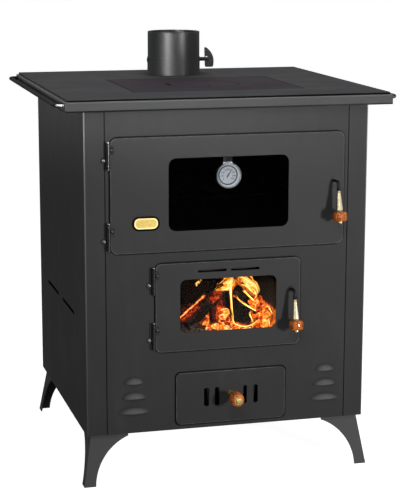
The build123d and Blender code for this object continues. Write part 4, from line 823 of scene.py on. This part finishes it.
def emberMesh(heaps, shape):
    # an ember is a ball whose radius swells and dents along two random directions; all form one mesh
    chance = np.random.default_rng(shape["seed"])
    places = [chance.uniform(given["low"], given["high"], (given["count"], 3)) for given in heaps.values()]
    glow = np.concatenate([given["glow"] * chance.uniform(0.3, 1, given["count"]) for given in heaps.values()])
    places = np.concatenate(places) + (0, bodyFront, 0)
    count = len(places)
    size = chance.uniform(*shape["radius"], count)
    a = np.linspace(0, 2 * np.pi, shape["around"], endpoint=False)
    b = np.linspace(shape["pole"], np.pi - shape["pole"], shape["down"])[:, None]
    ball = np.stack([np.sin(b) * np.cos(a), np.sin(b) * np.sin(a), np.cos(b) + 0 * a], -1)
    swell = np.ones((count, shape["down"], shape["around"]))
    for rate, share in shape["swells"]:
        axis = chance.normal(size=(count, 3))
        axis /= np.linalg.norm(axis, axis=1)[:, None]
        phase = chance.uniform(0, 6, count)[:, None, None]
        swell += share * np.sin(rate * np.einsum("rck,nk->nrc", ball, axis) + phase)
    stretch = chance.uniform(*shape["stretch"], (count, 1, 1, 3))
    points = places[:, None, None] + (size[:, None, None] * swell)[..., None] * ball * stretch
    index = np.arange(points[..., 0].size).reshape(points.shape[:3])
    ring = np.concatenate([index, index[:, :, :1]], 2)
    quads = np.stack([ring[:, 1:, :-1], ring[:, 1:, 1:], ring[:, :-1, 1:], ring[:, :-1, :-1]], -1)
    quads = quads.reshape(-1, 4).tolist()
    mesh = bpy.data.meshes.new("emberHeap")
    mesh.from_pydata(points.reshape(-1, 3).tolist(), [], quads + index[:, 0].tolist() + index[:, -1, ::-1].tolist())
    keepHeat(mesh, np.broadcast_to(glow[:, None, None], points.shape[:3]))
    return mesh


def flameFinish(name, strength, soft):
    # light from the flame itself: pale in the middle, orange to red at its edges, thin at the tip
    constants = {"Base Color": (0, 0, 0, 1), "Specular IOR Level": 0.0, "Emission Strength": strength}
    material, surface = newMaterial(name, constants)
    tree = material.node_tree
    share = tree.nodes.new("ShaderNodeUVMap")
    share.uv_map = "share"
    across, along = [axisOf(share.outputs[0], axis) for axis in "XY"]
    deep = axisOf(objectPoint(tree), "Y")
    grain = newStep("CombineXYZ", {0: times(across, 3.6), 1: times(along, 2.2), 2: times(deep, 60.0)})
    lick = noise(grain.outputs[0], 1.0, 3, 0.55, 0.7)
    middle = minus(1.0, times(distance(across, 0.5), 2.0))
    body = plus(middle, fade(lick, 0.3, 0.7, -0.85, 0.4))
    ends = times(fade(along, 0.0, 0.12), fade(along, 1.0, 0.7))
    wire(surface["Emission Color"], ramp(body, [
        (0.0, (0.4, 0.035, 0.003, 1)), (0.3, (0.8, 0.16, 0.01, 1)), (0.55, (1.0, 0.42, 0.03, 1)),
        (0.85, (1.0, 0.74, 0.14, 1)), (1.0, (1.0, 0.85, 0.32, 1))]))
    wire(surface["Alpha"], times(fade(body, 0.05, soft), ends))
    return material


# each flame: depth behind the front, then places along it (across, height) and half its width there, in millimetres
flames = {
    "leftLobe": (84, [(-10, 412, 1.5), (3, 418, 9), (14, 424, 17), (25, 430, 21), (36, 443, 20)]),
    "innerLobe": (80, [(2, 414, 2), (13, 416, 9), (22, 422, 13), (29, 432, 15), (35, 446, 13)]),
    "veil": (96, [(44, 444, 6), (54, 438, 11), (66, 430, 12), (79, 416, 9), (86, 400, 3)]),
    "crown": (90, [(52, 442, 8), (62, 438, 11), (76, 429, 12), (88, 418, 10), (95, 404, 6), (93, 391, 1.5)]),
    "rightLobe": (80, [(50, 426, 3), (63, 422, 7), (78, 412, 9), (88, 401, 7), (91, 390, 2)]),
    "topRight": (76, [(49, 446, 6), (64, 438, 7), (80, 427, 7), (90, 415, 5), (93, 404, 1.5)]),
    "smallLeft": (110, [(-45, 419, 1.5), (-43, 427, 7), (-35, 438, 9)]),
}
tongues = {
    "streak": (62, [(23, 440, 7), (24, 417, 4.8), (26, 386, 3.6), (27, 361, 3.3), (30, 344, 2.9), (39, 334, 1.9)]),
    "loopLow": (62, [(27, 351, 2.4), (34, 338, 2.4), (54, 331, 2.2), (73, 333, 2.2),
                     (87, 340, 2.2), (97, 350, 2.4), (93, 359, 2.4)]),
    "loopTop": (62, [(96, 352, 2.2), (88, 362, 2.6), (70, 373, 2.6), (53, 385, 2.6), (41, 396, 2.4), (35, 409, 1.9)]),
    "secondLine": (70, [(55, 416, 3.3), (67, 402, 2.6), (78, 391, 2.4), (84, 379, 2.2), (87, 367, 1.4)]),
    "inner": (66, [(78, 337, 1.0), (74, 347, 2.0), (71, 358, 2.0), (74, 368, 0.8)]),
    "cornerHigh": (14, [(95, 390, 0.8), (101, 382, 1.8), (106, 372, 1.6), (107, 364, 0.8)]),
    "cornerLow": (14, [(100, 358, 1.0), (100, 351, 2.2), (101, 344, 1.6), (103, 339, 0.8)]),
}


def smoothLine(places, steps):
    # a smooth line through the places: each stretch is a cubic whose slopes come from its neighbours
    places = np.array(places, float)
    share = np.linspace(0, len(places) - 1, steps)
    first = np.minimum(share.astype(int), len(places) - 2)
    t = (share - first)[:, None]
    slope = np.gradient(places, axis=0)
    a, b, c, d = places[first], places[first + 1], slope[first], slope[first + 1]
    return (2 * t**3 - 3 * t**2 + 1) * a + (t**3 - 2 * t**2 + t) * c + (-2 * t**3 + 3 * t**2) * b + (t**3 - t**2) * d


# a flame's points across and along it; its ripples at the edges, in width and in depth: rate, shift and size
flameShape = {"across": 17, "along": 60, "ripples": ((17, 1, 0.16), (31, -2, 0.1), (7, 1, 2.0))}


def flameSheet(name, depth, places, material, bulge, phase, shape):
    # across the sheet, a point lies at middle + w * u * side and forward by bulge * w * (1 - u * u); its edges ripple
    line = smoothLine(places, shape["along"])
    middle, width = line[:, :2], line[:, 2]
    ahead = np.gradient(middle, axis=0)
    ahead /= np.linalg.norm(ahead, axis=1)[:, None]
    side = np.stack([ahead[:, 1], -ahead[:, 0]], 1)
    u, v = np.meshgrid(np.linspace(-1, 1, shape["across"]), np.linspace(0, 1, shape["along"]))
    edge, swell, sway = [size * np.sin(rate * v + shift * phase) for rate, shift, size in shape["ripples"]]
    w = width[:, None] * (1 + edge * u + swell * u * u)
    flat = middle[:, None, :] + (w * u)[..., None] * side[:, None, :]
    y = depth - bulge * w * (1 - u**2) + sway
    points = np.stack([flat[..., 0], y + bodyFront * 1000, flat[..., 1]], -1) / 1000
    points[..., 0] = np.minimum(points[..., 0], brickFace)
    mesh = gridMesh(name, points, share=np.stack([(u + 1) / 2, v], -1))
    addPiece(mesh, material, "stove")


woodFire = burning()
for name, given in woodPile.items():
    addPiece(logMesh(name, given, logShape), woodFire, "stove", ("firewood",))
addPiece(ashMesh(ashBed), woodFire, "stove", ("firewood",))
addPiece(emberMesh(emberHeaps, emberShape), woodFire, "stove", ("firewood",))
# each kind: its sheets, light, soft edge, bulge as a share of the width, and shift of the ripples
flameKinds = {"broadFlame": (flames, 1.3, 0.6, 0.35, 1.7), "brightFlame": (tongues, 2.2, 0.4, 0.8, 2.3)}
for kind, (sheets, strength, soft, bulge, shift) in flameKinds.items():
    material = flameFinish(kind, strength, soft)
    for order, (name, (depth, places)) in enumerate(sheets.items()):
        flameSheet(name, depth, places, material, bulge, order * shift, flameShape)
print("fire laid,", len(woodPile), "logs and", len(flames) + len(tongues), "flames")


def gather(name, parts):
    # several lists of points and faces as one mesh
    points, faces = [], []
    for some, sides in parts:
        faces += [[corner + len(points) for corner in side] for side in sides]
        points += [tuple(place) for place in some]
    mesh = bpy.data.meshes.new(name)
    mesh.from_pydata(points, [], faces)
    return weld(mesh)


# values by angle in degrees; the numbers and ticks by shares of the radius; figure height and depth in metres
dialScale = {"values": range(0, 401, 50), "from": -128, "to": 128, "numbers": 0.48, "ticks": (0.61, 0.69),
             "tickWidth": 0.022, "tickTaper": 0.6, "height": 0.0054, "depth": 0.00012}


def dialMarks(given):
    # numbers and ticks stand on a ring; the angle runs evenly from the first value to the last, clockwise
    low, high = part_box("thermometer_dial")
    middle = Vector(((low.x + high.x) / 2, low.y, (low.z + high.z) / 2))
    reach = (high.x - low.x) / 2
    parts = []
    for order, value in enumerate(given["values"]):
        angle = math.radians(given["from"] + (given["to"] - given["from"]) * order / (len(given["values"]) - 1))
        outward = Vector((math.sin(angle), 0, math.cos(angle)))
        across = Vector((outward.z, 0, -outward.x))
        curve = bpy.data.curves.new("number", "FONT")
        curve.body, curve.size, curve.extrude = str(value), given["height"], given["depth"] / 2
        curve.align_x, curve.align_y = "CENTER", "CENTER"
        written = bpy.data.objects.new("number", curve)
        shape = written.to_mesh()
        centre = middle + outward * reach * given["numbers"]
        places = [centre + Vector((v.co.x, -v.co.z, v.co.y)) for v in shape.vertices]
        parts.append((places, [list(side.vertices) for side in shape.polygons]))
        written.to_mesh_clear()
        bpy.data.objects.remove(written)
        bpy.data.curves.remove(curve)
        near, far = (outward * reach * share for share in given["ticks"])
        wide = across * reach * given["tickWidth"]
        narrow = wide * given["tickTaper"]
        front = Vector((0, -given["depth"], 0))
        corners = [middle + near - narrow, middle + near + narrow, middle + far + wide, middle + far - wide]
        ring = [corner + shift for shift in (front, -front) for corner in corners]
        parts.append((ring, [[0, 3, 2, 1], [4, 5, 6, 7], [0, 1, 5, 4], [1, 2, 6, 5], [2, 3, 7, 6], [3, 0, 4, 7]]))
    return gather("dialMarks", parts)


# the rivet's middle from the key's left edge, its rim's depth in the key, its radius and its rise
keyRivet = {"fromLeft": 0.0052, "sunk": 0.0002, "radius": 0.0028, "rise": 0.0016}


def rivetMesh(given):
    # half a flattened ball on the key's front face, halfway up the key
    low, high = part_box("damper_key")
    a, b = np.meshgrid(np.linspace(0, 2 * np.pi, 24, endpoint=False), np.linspace(0, np.pi / 2, 8)[:-1])
    ring = given["radius"] * np.cos(b)
    x, z = low.x + given["fromLeft"] + ring * np.cos(a), (low.z + high.z) / 2 + ring * np.sin(a)
    points = np.stack([x, low.y + given["sunk"] - given["rise"] * np.sin(b), z], -1)
    return gridMesh("keyRivet", points, wrap=True, ends=True)


addPiece(dialMarks(dialScale), dialInk, "oven_door", smooth=False)
addPiece(rivetMesh(keyRivet), boltSteel, "damper")
print("dial and rivet made")
